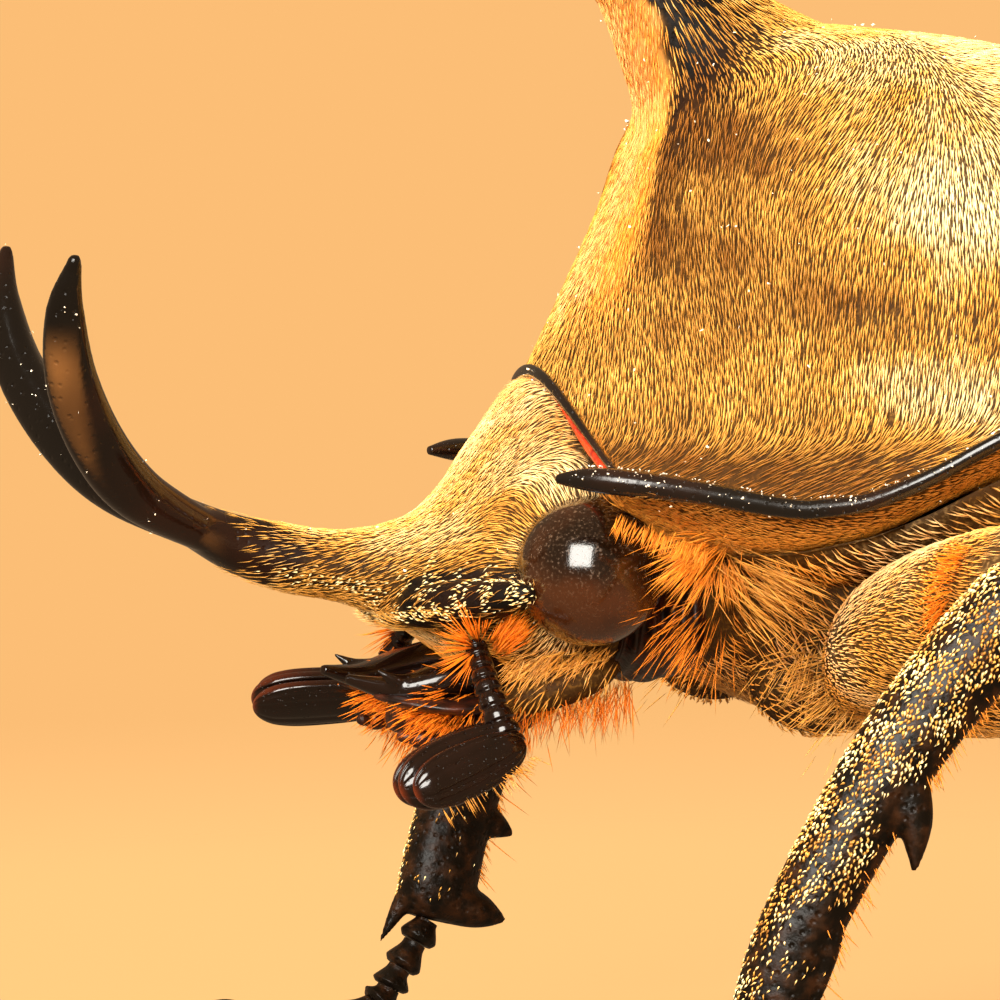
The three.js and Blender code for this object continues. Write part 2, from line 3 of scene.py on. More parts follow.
import bpy
import mathutils
import numpy as np
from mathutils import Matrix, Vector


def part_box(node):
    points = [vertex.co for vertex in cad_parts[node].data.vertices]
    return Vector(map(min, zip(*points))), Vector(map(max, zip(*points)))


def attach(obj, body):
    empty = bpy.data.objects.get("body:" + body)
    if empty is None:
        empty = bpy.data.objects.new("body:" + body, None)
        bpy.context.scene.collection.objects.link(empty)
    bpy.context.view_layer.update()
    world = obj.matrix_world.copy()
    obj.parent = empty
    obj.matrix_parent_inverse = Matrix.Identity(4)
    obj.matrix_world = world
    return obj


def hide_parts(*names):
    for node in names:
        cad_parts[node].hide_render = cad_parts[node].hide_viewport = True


# A male rhinoceros beetle with a short golden coat, standing still.
# Shapes are worked out in millimetres with the shield's front rim at x = 0 and the floor at z = 0. The beetle
# faces -X and its left side is at -Y. toRow() moves them to the part's own frame, in metres.
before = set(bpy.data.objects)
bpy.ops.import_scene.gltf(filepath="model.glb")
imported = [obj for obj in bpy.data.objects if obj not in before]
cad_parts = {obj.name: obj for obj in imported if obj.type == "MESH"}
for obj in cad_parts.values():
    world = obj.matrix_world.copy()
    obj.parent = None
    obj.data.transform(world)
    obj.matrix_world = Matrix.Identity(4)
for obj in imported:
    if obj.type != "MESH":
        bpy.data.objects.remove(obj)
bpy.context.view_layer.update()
stemLow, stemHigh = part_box("horn_stem")
stemFront = -12.0  # the stem's front end, in the beetle's own millimetres
rowShift = np.array([stemLow.x * 1000 - stemFront, (stemLow.y + stemHigh.y) * 500, 0.0])
hands = {"left": -1, "right": 1}


def toRow(points):
    return (np.asarray(points, float) + rowShift) / 1000


# Numbers, and smooth curves and masks made from them.
def between(rows, t):
    # The rows' values at t, from 0 to 1, on the smooth curve through evenly spaced rows.
    rows = np.asarray(rows, float)
    last = len(rows) - 1
    s = np.clip(np.asarray(t, float) * last, 0, last - 1e-9)
    i = np.floor(s).astype(int)
    f = (s - i)[..., None]
    p, q, r, n = (rows[np.clip(i + k, 0, last)] for k in (-1, 0, 1, 2))
    return q + 0.5 * f * (r - p + f * (2 * p - 5 * q + 4 * r - n + f * (3 * (q - r) + n - p)))


def columns(rows, t):
    # The same, with one array for each column.
    return np.moveaxis(between(rows, t), -1, 0)


def rounded(value, power):
    return np.sign(value) * np.abs(value) ** power


def unit(v):
    v = np.asarray(v, float)
    return v / np.maximum(np.linalg.norm(v, axis=-1, keepdims=True), 1e-12)


def smooth(low, high, value):
    t = np.clip((value - low) / (high - low), 0, 1)
    return t * t * (3 - 2 * t)


def mix(a, b, share):
    return a + (b - a) * share


def bump(value, middle, reach):
    return np.exp(-(((value - middle) / reach) ** 2))


def ripple(points, size, seed, waves=7):
    # A smooth random field from about -1 to 1, with waves of about this size in millimetres.
    rng = np.random.default_rng(seed)
    ways = unit(rng.normal(size=(waves, 3)))
    starts = rng.random(waves) * math.tau
    sizes = size * rng.uniform(0.7, 1.5, waves)
    return np.sin((points @ ways.T) * math.tau / sizes + starts).sum(-1) / math.sqrt(waves)


# Meshes. A shape is (points, faces), and faces is a list of index arrays, one for each number of corners.
def grid(around, rings):
    # Quads between the rings, and fans over both ends, to the two points that follow the rings.
    i, k = np.meshgrid(np.arange(around), np.arange(rings - 1))
    j = (i + 1) % around
    quads = np.stack([k * around + i, k * around + j, (k + 1) * around + j, (k + 1) * around + i], -1)
    i = np.arange(around)
    j = (i + 1) % around
    low = np.full(around, rings * around)
    high = low + 1
    top = (rings - 1) * around
    fans = np.concatenate([np.stack([low, j, i], -1), np.stack([high, top + i, top + j], -1)])
    return [quads.reshape(-1, 4), fans]


def loft(place, around, rings):
    # A closed solid over a run of rings. place(t, angle) gives the points at t, from 0 to 1.
    t, angle = np.meshgrid(np.linspace(0, 1, rings), np.arange(around) / around * math.tau, indexing="ij")
    points = place(t, angle).reshape(rings, around, 3)
    ends = np.stack([points[0].mean(0), points[-1].mean(0)])
    return facedOut((np.concatenate([points.reshape(-1, 3), ends]), grid(around, rings)))


def triangles(faces):
    return np.concatenate([f[:, [0, k, k + 1]] for f in faces for k in range(1, f.shape[1] - 1)])


def facedOut(shape):
    # Turns the faces round if they look inwards.
    points, faces = shape
    a, b, c = points[triangles(faces)].transpose(1, 0, 2)
    if np.einsum("ij,ij->i", a, np.cross(b, c)).sum() < 0:
        faces = [f[:, ::-1] for f in faces]
    return points, faces


def normalsOf(shape):
    points, faces = shape
    corners = triangles(faces)
    a, b, c = points[corners].transpose(1, 0, 2)
    flat = np.cross(b - a, c - a)
    total = np.zeros_like(points)
    for corner in corners.T:
        for axis in range(3):
            total[:, axis] += np.bincount(corner, flat[:, axis], len(points))
    return unit(total)


def merged(shapes):
    points, faces, count = [], {}, 0
    for p, many in shapes:
        points.append(p)
        for f in many:
            faces.setdefault(f.shape[1], []).append(f + count)
        count += len(p)
    return np.concatenate(points), [np.concatenate(f) for f in faces.values()]


def mirrored(shape):
    return shape[0] * [1, -1, 1], [f[:, ::-1] for f in shape[1]]


def onHand(shape, sign):
    return shape if sign < 0 else mirrored(shape)


def sunk(shape, depth):
    # The shape's skin, lowered to leave room for the coat.
    return shape[0] - normalsOf(shape) * np.asarray(depth).reshape(-1, 1), shape[1]


def limb(stations, side, around=24, rings=40, square=1.0, relief=None):
    # Ellipses along a smooth path. A station is (x, y, z, half width, half depth); the width runs along side.
    def place(t, angle):
        x, y, z, width, depth = columns(stations, t)
        before, after = (between(stations, np.clip(t + step, 0, 1))[..., :3] for step in (-0.01, 0.01))
        along = unit(after - before)
        across = unit(side - along * (along @ np.asarray(side, float))[..., None])
        up = np.cross(along, across)
        grow = 1 if relief is None else relief(t, angle)
        wide = (width * grow * rounded(np.cos(angle), square))[..., None]
        deep = (depth * grow * rounded(np.sin(angle), square))[..., None]
        return np.stack([x, y, z], -1) + across * wide + up * deep

    return loft(place, around, rings)


def spike(foot, tip, radius, bend=(0, 0, 0), around=14, rings=16, blunt=0.1):
    foot, tip = np.asarray(foot, float), np.asarray(tip, float)
    middle = (foot + tip) / 2 + bend
    sizes = (radius, radius * 0.68, radius * blunt)
    stations = [(*p, size, size) for p, size in zip((foot, middle, tip), sizes)]
    return limb(stations, (0.3, 1, 0.2), around, rings)


def barrel(rows, around, rings, relief=None):
    # Rings across X. A row is (x, half width, top, bottom).
    def place(t, angle):
        x, wide, top, bottom = columns(rows, t)
        grow = 1 if relief is None else relief(t, angle)
        high = (top - bottom) / 2 * np.cos(angle) * grow
        return np.stack([x, wide * np.sin(angle) * grow, (top + bottom) / 2 + high], -1)

    return loft(place, around, rings)


def ball(centre, radii, around=24, rings=16):
    def place(t, angle):
        turn = t * math.pi
        out = np.sin(turn)
        return np.stack([out * np.cos(angle), out * np.sin(angle), np.cos(turn)], -1) * radii + centre

    return loft(place, around, rings)


def newMesh(name, shape, scale=1.0):
    points, faces = shape
    mesh = bpy.data.meshes.new(name)
    mesh.vertices.add(len(points))
    mesh.vertices.foreach_set("co", (np.asarray(points) * scale).astype(np.float32).ravel())
    mesh.loops.add(sum(f.size for f in faces))
    mesh.loops.foreach_set("vertex_index", np.concatenate([f.ravel() for f in faces]).astype(np.int32))
    sizes = np.concatenate([np.full(len(f), f.shape[1]) for f in faces])
    mesh.polygons.add(len(sizes))
    mesh.polygons.foreach_set("loop_start", np.concatenate([[0], np.cumsum(sizes)[:-1]]).astype(np.int32))
    mesh.polygons.foreach_set("use_smooth", np.ones(len(sizes), bool))
    mesh.update(calc_edges=True)
    return mesh


def fused(shapes, grain, softening=3):
    # One closed skin over several solids that overlap.
    holder = bpy.data.objects.new("fusing", newMesh("fusing", merged(shapes)))
    bpy.context.scene.collection.objects.link(holder)
    skin = holder.modifiers.new("skin", "REMESH")
    skin.mode = "VOXEL"
    skin.voxel_size = grain
    soft = holder.modifiers.new("soft", "SMOOTH")
    soft.factor = 0.5
    soft.iterations = softening
    done = holder.evaluated_get(bpy.context.evaluated_depsgraph_get()).data
    points = np.zeros(len(done.vertices) * 3, np.float32)
    done.vertices.foreach_get("co", points)
    corners = np.zeros(len(done.loops), np.int32)
    done.loops.foreach_get("vertex_index", corners)
    bpy.data.objects.remove(holder)
    return points.reshape(-1, 3).astype(float), [corners.reshape(-1, 4)]


def softened(shape, weight, times):
    # Draws every point towards its neighbours, as far as its weight says.
    points, faces = shape
    ends = np.concatenate([faces[0][:, [i, (i + 1) % 4]] for i in range(4)])
    ends = np.concatenate([ends, ends[:, ::-1]])
    own, other = ends.T
    degree = np.bincount(own, minlength=len(points))[:, None]
    for turn in range(times):
        total = np.stack([np.bincount(own, points[other, axis], len(points)) for axis in range(3)], -1)
        points = points + weight[:, None] * (total / degree - points)
    return points, faces


def piece(name, shape, material, replaces=(), values=None):
    # An object of the scene, from a shape in millimetres. values are numbers for its material, one a point.
    mesh = newMesh(name, (toRow(shape[0]), shape[1]))
    for key, value in (values or {}).items():
        mesh.attributes.new(key, "FLOAT", "POINT").data.foreach_set("value", np.asarray(value, np.float32))
    mesh.materials.append(material)
    made = bpy.data.objects.new(name, mesh)
    bpy.context.scene.collection.objects.link(made)
    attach(made, "root")
    if replaces:
        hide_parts(*replaces)
    return made


# The coat. Every hair is a thin closed solid that lies along the body.
triedInPlace = 4.5  # roots tried for each hair's own place
hairsInPiece = 32000  # six faces each
rootPatch = 0.0015  # half the width of a hair on the unwrap


def scatter(shape, density, rng):
    # Random roots over the skin, with its normals there. density counts them per square millimetre.
    points, faces = shape
    corners = triangles(faces)
    normals = normalsOf(shape)
    a, b, c = points[corners].transpose(1, 0, 2)
    area = np.linalg.norm(np.cross(b - a, c - a), axis=1) / 2
    count = int(area.sum() * density)
    pick = np.minimum(np.searchsorted(np.cumsum(area), rng.random(count) * area.sum()), len(corners) - 1)
    share = rng.dirichlet([1, 1, 1], count)
    roots = np.einsum("nk,nkd->nd", share, points[corners[pick]])
    return roots, unit(np.einsum("nk,nkd->nd", share, normals[corners[pick]]))


def combed(roots, facing, ways, look):
    # The roots that stay when each keeps its place free, by look["gap"] across the lie and "reach" along it.
    tree = mathutils.kdtree.KDTree(len(roots))
    for i, root in enumerate(roots):
        tree.insert(root, i)
    tree.balance()
    sides = np.cross(ways, facing)
    free = np.ones(len(roots), bool)
    kept = []
    for i in range(len(roots)):
        if free[i]:
            kept.append(i)
            near = np.array([found[1] for found in tree.find_range(roots[i], look["reach"])])
            out = roots[near] - roots[i]
            taken = (out @ ways[i] / look["reach"]) ** 2 + (out @ sides[i] / look["gap"]) ** 2 < 1
            free[near[taken]] = False
    return kept


def coat(name, shape, look, seed, lie, cover, marks, unwrap):
    # lie(roots, normals) gives the ways the hairs lie, cover thins them out, from 1 to 0, and marks gives
    # their pale and ember values.
    rng = np.random.default_rng(seed)
    roots, facing = scatter(shape, triedInPlace / (look["gap"] * look["reach"]), rng)
    seen = cover(roots, facing)
    roots, facing, seen = (rows[seen > 0.01] for rows in (roots, facing, seen))
    flow = lie(roots, facing)
    ways = unit(flow - facing * np.einsum("ij,ij->i", flow, facing)[:, None])
    kept = np.array(combed(roots, facing, ways, look))
    kept = kept[rng.random(len(kept)) < seen[kept] ** 0.7]
    pale, ember = marks(roots[kept], facing[kept])
    sizes = 0.5 + 0.5 * np.clip(seen[kept], 0, 1)
    values = {"pale": pale, "ember": ember}
    return hairs(name, roots[kept], facing[kept], ways[kept], sizes, look, unwrap, rng, values)


def hairs(name, roots, normals, ways, sizes, look, unwrap, rng, values):
    # look: length, width, lift, and stray, how far the hairs stray from the lie.
    count = len(roots)
    way = ways + rng.normal(size=(count, 3)) * look["stray"]
    way = unit(way - normals * np.einsum("ij,ij->i", way, normals)[:, None])
    across = np.cross(way, normals)
    length = (look["length"] * rng.uniform(0.8, 1.2, count))[:, None]
    width = (look["width"] * rng.uniform(0.8, 1.2, count) * sizes)[:, None]
    lift = (look["lift"] * rng.uniform(0.5, 1.5, count))[:, None]
    sway = (rng.normal(size=count) * 0.03)[:, None] * length
    middle = roots + way * length * 0.4 + normals * lift * 0.8 + across * sway
    tip = roots + way * length + normals * lift
    foot = roots - normals * 0.03
    rim = [middle - across * width / 2, middle + across * width / 2, middle + normals * width * 0.45]
    points = np.stack([foot, *rim, tip], 1)
    faces = np.array([[0, 2, 1], [0, 3, 2], [0, 1, 3], [4, 1, 2], [4, 2, 3], [4, 3, 1]])
    patch = np.array([[0, -1], [-1, 0], [1, 0], [0, 0.4], [0, 1]]) * rootPatch
    uv = np.clip(unwrap(roots), 0.002, 0.998)[:, None] + patch
    tone = np.repeat(rng.uniform(-1, 1, count), 5)
    along = np.tile([0, 0.4, 0.4, 0.4, 1.0], count)
    finish = finishes[look.get("finish", "hair")]
    for part, start in enumerate(range(0, count, hairsInPiece)):
        stop = min(count, start + hairsInPiece)
        many = stop - start
        solid = (np.arange(many) * 5)[:, None, None] + faces
        chosen = slice(start * 5, stop * 5)
        own = {key: np.repeat(value, 5)[chosen] for key, value in values.items()}
        own.update(tone=tone[chosen], along=along[chosen])
        ending = f"_{part + 1}" if count > hairsInPiece else ""
        shape = (points[start:stop].reshape(-1, 3), [solid.reshape(-1, 3)])
        made = piece(name + ending, shape, finish, (), own)
        bakeMap(made, uv[start:stop].reshape(-1, 2))
    return count


def bakeMap(made, uv):
    # The hairs' unwrap, from one (u, v) a point.
    mesh = made.data
    corners = np.zeros(len(mesh.loops), np.int32)
    mesh.loops.foreach_get("vertex_index", corners)
    layer = mesh.uv_layers.new(name="OFBake")
    layer.data.foreach_set("uv", uv[corners].astype(np.float32).ravel())


def bristles(name, groups, material, seed):
    # Long hairs in tufts. A group has roots, ways, length and width, and may have stray, curl, droop, ember.
    rng = np.random.default_rng(seed)
    parts, uvs, tones, alongs, embers = [], [], [], [], []
    for number, group in enumerate(groups):
        roots = group["roots"]
        count = len(roots)
        way = unit(unit(group["ways"]) + rng.normal(size=(count, 3)) * group.get("stray", 0.12))
        side = unit(np.cross(way, unit(rng.normal(size=(count, 3)))))
        over = np.cross(way, side)
        length = (group["length"] * rng.uniform(0.55, 1.15, count))[:, None]
        width = (group["width"] * rng.uniform(0.8, 1.2, count))[:, None]
        curl = side * rng.normal(size=(count, 1)) * group.get("curl", 0.06)
        bow = curl + np.asarray(group.get("droop", (0, 0, 0)), float)

        def at(share):
            return roots + (way * share + bow * share * share) * length

        rings = []
        for share, size in ((0.25, 1.0), (0.65, 0.75)):
            for turn in (0, math.tau / 3, 2 * math.tau / 3):
                rings.append(at(share) + (side * math.cos(turn) + over * math.sin(turn)) * width * size / 2)
        parts.append(np.stack([at(-0.03), *rings, at(1.0)], 1))
        # Each tuft has its own field of the unwrap.
        centre = roots.mean(0)
        span = np.abs(roots - centre).max() + 0.01
        home = np.array([0.1 + 0.2 * (number % 5), 0.1 + 0.2 * (number // 5 % 5)])
        flat = home + 0.08 * np.stack([roots[:, 0] - centre[0], roots[:, 2] - centre[2]], -1) / span
        patch = [[0, -1], [-1, -0.5], [1, -0.5], [0, -0.5], [-1, 0.5], [1, 0.5], [0, 0.5], [0, 1]]
        uvs.append(np.clip(flat, 0.002, 0.998)[:, None] + np.array(patch) * rootPatch)
        tones.append(np.repeat(rng.uniform(-1, 1, count), 8))
        alongs.append(np.tile([0, 0.25, 0.25, 0.25, 0.65, 0.65, 0.65, 1.0], count))
        embers.append(np.full(count * 8, group.get("ember", 0.8)))
    points = np.concatenate(parts)
    faces = [[0, 2, 1], [0, 3, 2], [0, 1, 3], [7, 4, 5], [7, 5, 6], [7, 6, 4]]
    for i, j in ((1, 2), (2, 3), (3, 1)):
        faces += [[i, j, j + 3], [i, j + 3, i + 3]]
    solid = (np.arange(len(points)) * 8)[:, None, None] + np.array(faces)
    values = {
        "tone": np.concatenate(tones),
        "along": np.concatenate(alongs),
        "ember": np.concatenate(embers),
        "pale": np.full(len(points) * 8, 0.5),
    }
    made = piece(name, (points.reshape(-1, 3), [solid.reshape(-1, 3)]), material, (), values)
    bakeMap(made, np.concatenate(uvs).reshape(-1, 2))
    return len(points)


def aroundX(low, high, middle):
    # An unwrap round the body's length: the turn about a line at this height, and the share of the length.
    def unwrap(points):
        turn = np.arctan2(points[:, 1], points[:, 2] - middle) / math.tau + 0.5
        return np.stack([turn, (points[:, 0] - low) / (high - low)], -1)

    return unwrap


def aroundLine(start, end):
    # An unwrap round the line from start to end, which goes a little past both.
    start, end = np.asarray(start, float), np.asarray(end, float)
    along = unit(end - start)
    across = unit(np.cross(along, (0.3, 0.2, 1)))
    over = np.cross(along, across)
    length = np.linalg.norm(end - start)

    def unwrap(points):
        out = points - start
        turn = np.arctan2(out @ across, out @ over) / math.tau + 0.5
        return np.stack([turn, (out @ along / length + 0.15) / 1.3], -1)

    return unwrap


# Materials, with their maths written as Python's.
class Wire:
    # One output of a shader node. Arithmetic on wires adds Math nodes.
    def __init__(self, paint, socket):
        self.paint = paint
        self.socket = socket

    def maths(self, operation, first, second):
        return self.paint.node("Math", {"operation": operation}, {0: first, 1: second})

    def __add__(self, other):
        return self.maths("ADD", self, other)

    def __sub__(self, other):
        return self.maths("SUBTRACT", self, other)

    def __rsub__(self, other):
        return self.maths("SUBTRACT", other, self)

    def __mul__(self, other):
        return self.maths("MULTIPLY", self, other)

    __radd__ = __add__
    __rmul__ = __mul__


class Paint:
    # A material with one surface shader. look holds the sockets that are the same all over.
    def __init__(self, name, look):
        self.material = bpy.data.materials.new(name)
        self.material.use_nodes = True
        self.tree = self.material.node_tree
        self.shader = self.tree.nodes["Principled BSDF"]
        self.feed(self.shader, look)

    def feed(self, node, sockets):
        for key, value in sockets.items():
            if isinstance(value, Wire):
                self.tree.links.new(value.socket, node.inputs[key])
            else:
                node.inputs[key].default_value = value

    def node(self, kind, settings=None, sockets=None, output=0):
        made = self.tree.nodes.new("ShaderNode" + kind)
        for key, value in (settings or {}).items():
            if key == "stops":
                for place, colour in value[2:]:
                    made.color_ramp.elements.new(place)  # a ramp starts with two
                for element, (place, colour) in zip(made.color_ramp.elements, value):
                    element.position = place
                    element.color = colour
            else:
                setattr(made, key, value)
        self.feed(made, sockets or {})
        return Wire(self, made.outputs[output])

    def spot(self):
        return self.node("TexCoord", output=3)

    def noise(self, size, detail=2):
        # size is that of one blotch in millimetres.
        return self.node("TexNoise", {}, {"Vector": self.spot(), "Scale": 1000 / size, "Detail": detail})

    def cells(self, size):
        return self.node("TexVoronoi", {}, {"Vector": self.spot(), "Scale": 1000 / size})

    def value(self, name):
        return self.node("Attribute", {"attribute_name": name}, output=2)

    def step(self, value, low, high, to=(0, 1)):
        ends = {"Value": value, "From Min": low, "From Max": high, "To Min": to[0], "To Max": to[1]}
        return self.node("MapRange", {"interpolation_type": "SMOOTHSTEP"}, ends)

    def blend(self, share, first, second):
        return self.node("Mix", {"data_type": "RGBA"}, {0: share, 6: first, 7: second}, output=2)

    def dim(self, colour, share):
        return self.node("VectorMath", {"operation": "SCALE"}, {0: colour, "Scale": share})

    def bump(self, height, depth, strength=1.0):
        # depth in millimetres
        return self.node("Bump", {}, {"Height": height, "Distance": depth / 1000, "Strength": strength})

    def done(self, **sockets):
        self.feed(self.shader, sockets)
        return self.material


def tint(red, green, blue):
    # A colour as screens show it, from 0 to 255.
    linear = [c / 255 / 12.92 if c < 11 else ((c / 255 + 0.055) / 1.055) ** 2.4 for c in (red, green, blue)]
    return (*linear, 1.0)


coatColours = {
    "deep": tint(130, 84, 32),
    "gold": tint(224, 168, 78),
    "cream": tint(255, 238, 182),
    "orange": tint(250, 142, 28),
    "red": tint(224, 72, 14),
    "skin": tint(46, 28, 10),
}


def markings(paint, extra=0.0):
    # The same on skin and hair: golden brown to cream by "pale", and orange by "ember", with soft blotches.
    broad = paint.noise(6.0, 3) - 0.5
    fine = paint.noise(0.9, 2) - 0.5
    pale = paint.value("pale") + broad * 0.45 + fine * 0.35 + extra
    stops = [(0.05, coatColours["deep"]), (0.5, coatColours["gold"]), (0.95, coatColours["cream"])]
    velvet = paint.node("ValToRGB", {"stops": stops}, {"Fac": pale})
    ember = paint.value("ember")
    warm = paint.blend(paint.step(ember, 0.6, 1.3), coatColours["orange"], coatColours["red"])
    return paint.blend(paint.step(ember, 0.0, 0.9), velvet, warm)


def makeHair():
    paint = Paint("golden hair", {"Roughness": 0.5, "Specular IOR Level": 0.3})
    colour = markings(paint, paint.value("tone") * 0.09)
    shade = paint.value("along") * 0.35 + 0.72
    return paint.done(**{"Base Color": paint.dim(colour, shade)})


def makeScale():
    # Short flat hairs that glitter, from brown to white.
    paint = Paint("scales", {"Roughness": 0.3, "Specular IOR Level": 0.6})
    colour = markings(paint, paint.value("tone") * 0.36)
    return paint.done(**{"Base Color": colour})


def makeVelvetSkin():
    # Dark and plushy between the hairs. Where "bare" is 1 it is black-brown horn, polished as far as "gloss"
    # says, with pits as "pits" says and a painted reflection of warm tan, by "glow".
    paint = Paint("velvet skin", {"Specular IOR Level": 0.14, "Coat Roughness": 0.06})
    bare, gloss, ember = paint.value("bare"), paint.value("gloss"), paint.value("ember")
    fur = paint.noise(0.16, 1)
    share = paint.step(fur, 0.45, 0.75, (0.02, 0.14)) + paint.step(ember, 0.25, 0.6) * 0.7
    plush = paint.blend(share, coatColours["skin"], markings(paint))
    pits = paint.step(paint.cells(0.34), 0.05, 0.32)
    scratches = paint.noise(0.25, 4)
    cloud = paint.step(paint.noise(5.0, 2), 0.45, 0.75)
    horn = paint.blend(cloud * 0.7, tint(11, 8, 6), tint(36, 17, 9))
    # Painted reflection: warm tan where "glow" says, standing in for a lit surface mirrored in the tines.
    horn = paint.blend(paint.value("glow"), horn, tint(124, 84, 46))
    rough = (fur * 0.3 + 0.55) * (1 - bare) + (scratches * 0.14 + 0.5 - gloss * 0.4) * bare
    height = fur * (1 - bare) * 0.8 + (pits * paint.value("pits") + scratches * (0.9 - gloss * 0.8)) * bare
    return paint.done(
        **{
            "Base Color": paint.blend(bare, plush, horn),
            "Roughness": rough,
            "Coat Weight": bare * gloss * 0.8,
            "Normal": paint.bump(height, 0.05, 0.8),
        }
    )


def makeBareHorn():
    # Polished black-brown, with fine pits.
    paint = Paint("polished horn", {"Specular IOR Level": 0.55, "Coat Weight": 0.5, "Coat Roughness": 0.16})
    pits = paint.step(paint.cells(0.22), 0.05, 0.3)
    scratches = paint.noise(0.25, 4)
    glow = paint.step(paint.noise(5.0, 2), 0.45, 0.75)
    colour = paint.blend(glow * 0.7, tint(11, 8, 6), tint(34, 16, 9))
    return paint.done(
        **{
            "Base Color": colour,
            "Roughness": scratches * 0.18 + 0.12,
            "Normal": paint.bump(pits * paint.value("pits") + scratches * 0.12, 0.08, 0.9),
        }
    )


def makeLegShell():
    paint = Paint("leg shell", {"Specular IOR Level": 0.2, "Coat Weight": 0.05, "Coat Roughness": 0.12})
    pits = paint.step(paint.cells(0.3), 0.05, 0.4)
    rough = paint.noise(0.5, 4)
    colour = paint.blend(paint.step(rough, 0.4, 0.8), tint(11, 7, 4), tint(46, 25, 10))
    normal = paint.bump(pits * 0.6 + rough * 1.2, 0.07, 0.9)
    return paint.done(**{"Base Color": colour, "Roughness": rough * 0.4 + 0.18, "Normal": normal})


def makeEyeShell():
    # A wet dark brown dome with very fine facets, dusty above, and lighter and redder below, which is a
    # painted reflection of the warm surface beneath.
    paint = Paint("eye dome", {"Specular IOR Level": 0.5, "Coat Weight": 0.7, "Coat Roughness": 0.03})
    facets = paint.cells(0.05)
    cloud = paint.noise(1.6, 4)
    dust = paint.step(paint.noise(0.11, 3), 0.5, 0.76)
    low = paint.value("pale")
    # Painted reflection: the lower part, where "pale" says, is made lighter and redder.
    colour = paint.blend(paint.step(cloud + low * 0.5, 0.4, 1.0), tint(16, 7, 3), tint(60, 30, 12))
    dusty = paint.blend(dust * (1 - low * 0.7) * 0.3, colour, tint(120, 96, 76))
    return paint.done(
        **{
            "Base Color": dusty,
            "Roughness": dust * 0.3 + 0.12,
            "Normal": paint.bump(facets + cloud * 0.6, 0.006, 0.3),
        }
    )


def makeFeelerShell():
    paint = Paint("feeler shell", {"Specular IOR Level": 0.5, "Coat Weight": 0.4, "Coat Roughness": 0.05})
    cloud = paint.noise(0.8, 3)
    pits = paint.step(paint.cells(0.2), 0.04, 0.24)
    edge = paint.value("ember")
    colour = paint.blend(edge * 0.85 + cloud * 0.05, tint(8, 5, 3), tint(104, 40, 14))
    normal = paint.bump(pits, 0.05, 0.8)
    return paint.done(**{"Base Color": colour, "Roughness": cloud * 0.14 + 0.1, "Normal": normal})


def makeMouthSkin():
    paint = Paint("mouth skin", {"Specular IOR Level": 0.5})
    folds = paint.noise(0.5, 4)
    colour = paint.blend(paint.step(folds, 0.35, 0.75), tint(18, 9, 6), tint(70, 30, 14))
    normal = paint.bump(folds, 0.12, 0.7)
    return paint.done(**{"Base Color": colour, "Roughness": folds * 0.3 + 0.25, "Normal": normal})


def makeMembrane():
    paint = Paint("joint skin", {"Specular IOR Level": 0.6, "Coat Weight": 0.4})
    folds = paint.noise(0.35, 3)
    colour = paint.blend(paint.step(folds, 0.3, 0.75), tint(100, 16, 5), tint(214, 56, 14))
    normal = paint.bump(folds, 0.06, 0.6)
    return paint.done(**{"Base Color": colour, "Roughness": folds * 0.3 + 0.2, "Normal": normal})


def makeDust():
    paint = Paint("white specks", {"Roughness": 0.7})
    colour = paint.blend(paint.noise(0.2, 2), tint(232, 214, 184), tint(255, 250, 240))
    return paint.done(**{"Base Color": colour})


finishes = {
    "hair": makeHair(),
    "scale": makeScale(),
    "velvet": makeVelvetSkin(),
    "horn": makeBareHorn(),
    "leg": makeLegShell(),
    "eye": makeEyeShell(),
    "feeler": makeFeelerShell(),
    "mouth": makeMouthSkin(),
    "membrane": makeMembrane(),
    "dust": makeDust(),
}
print("materials made")


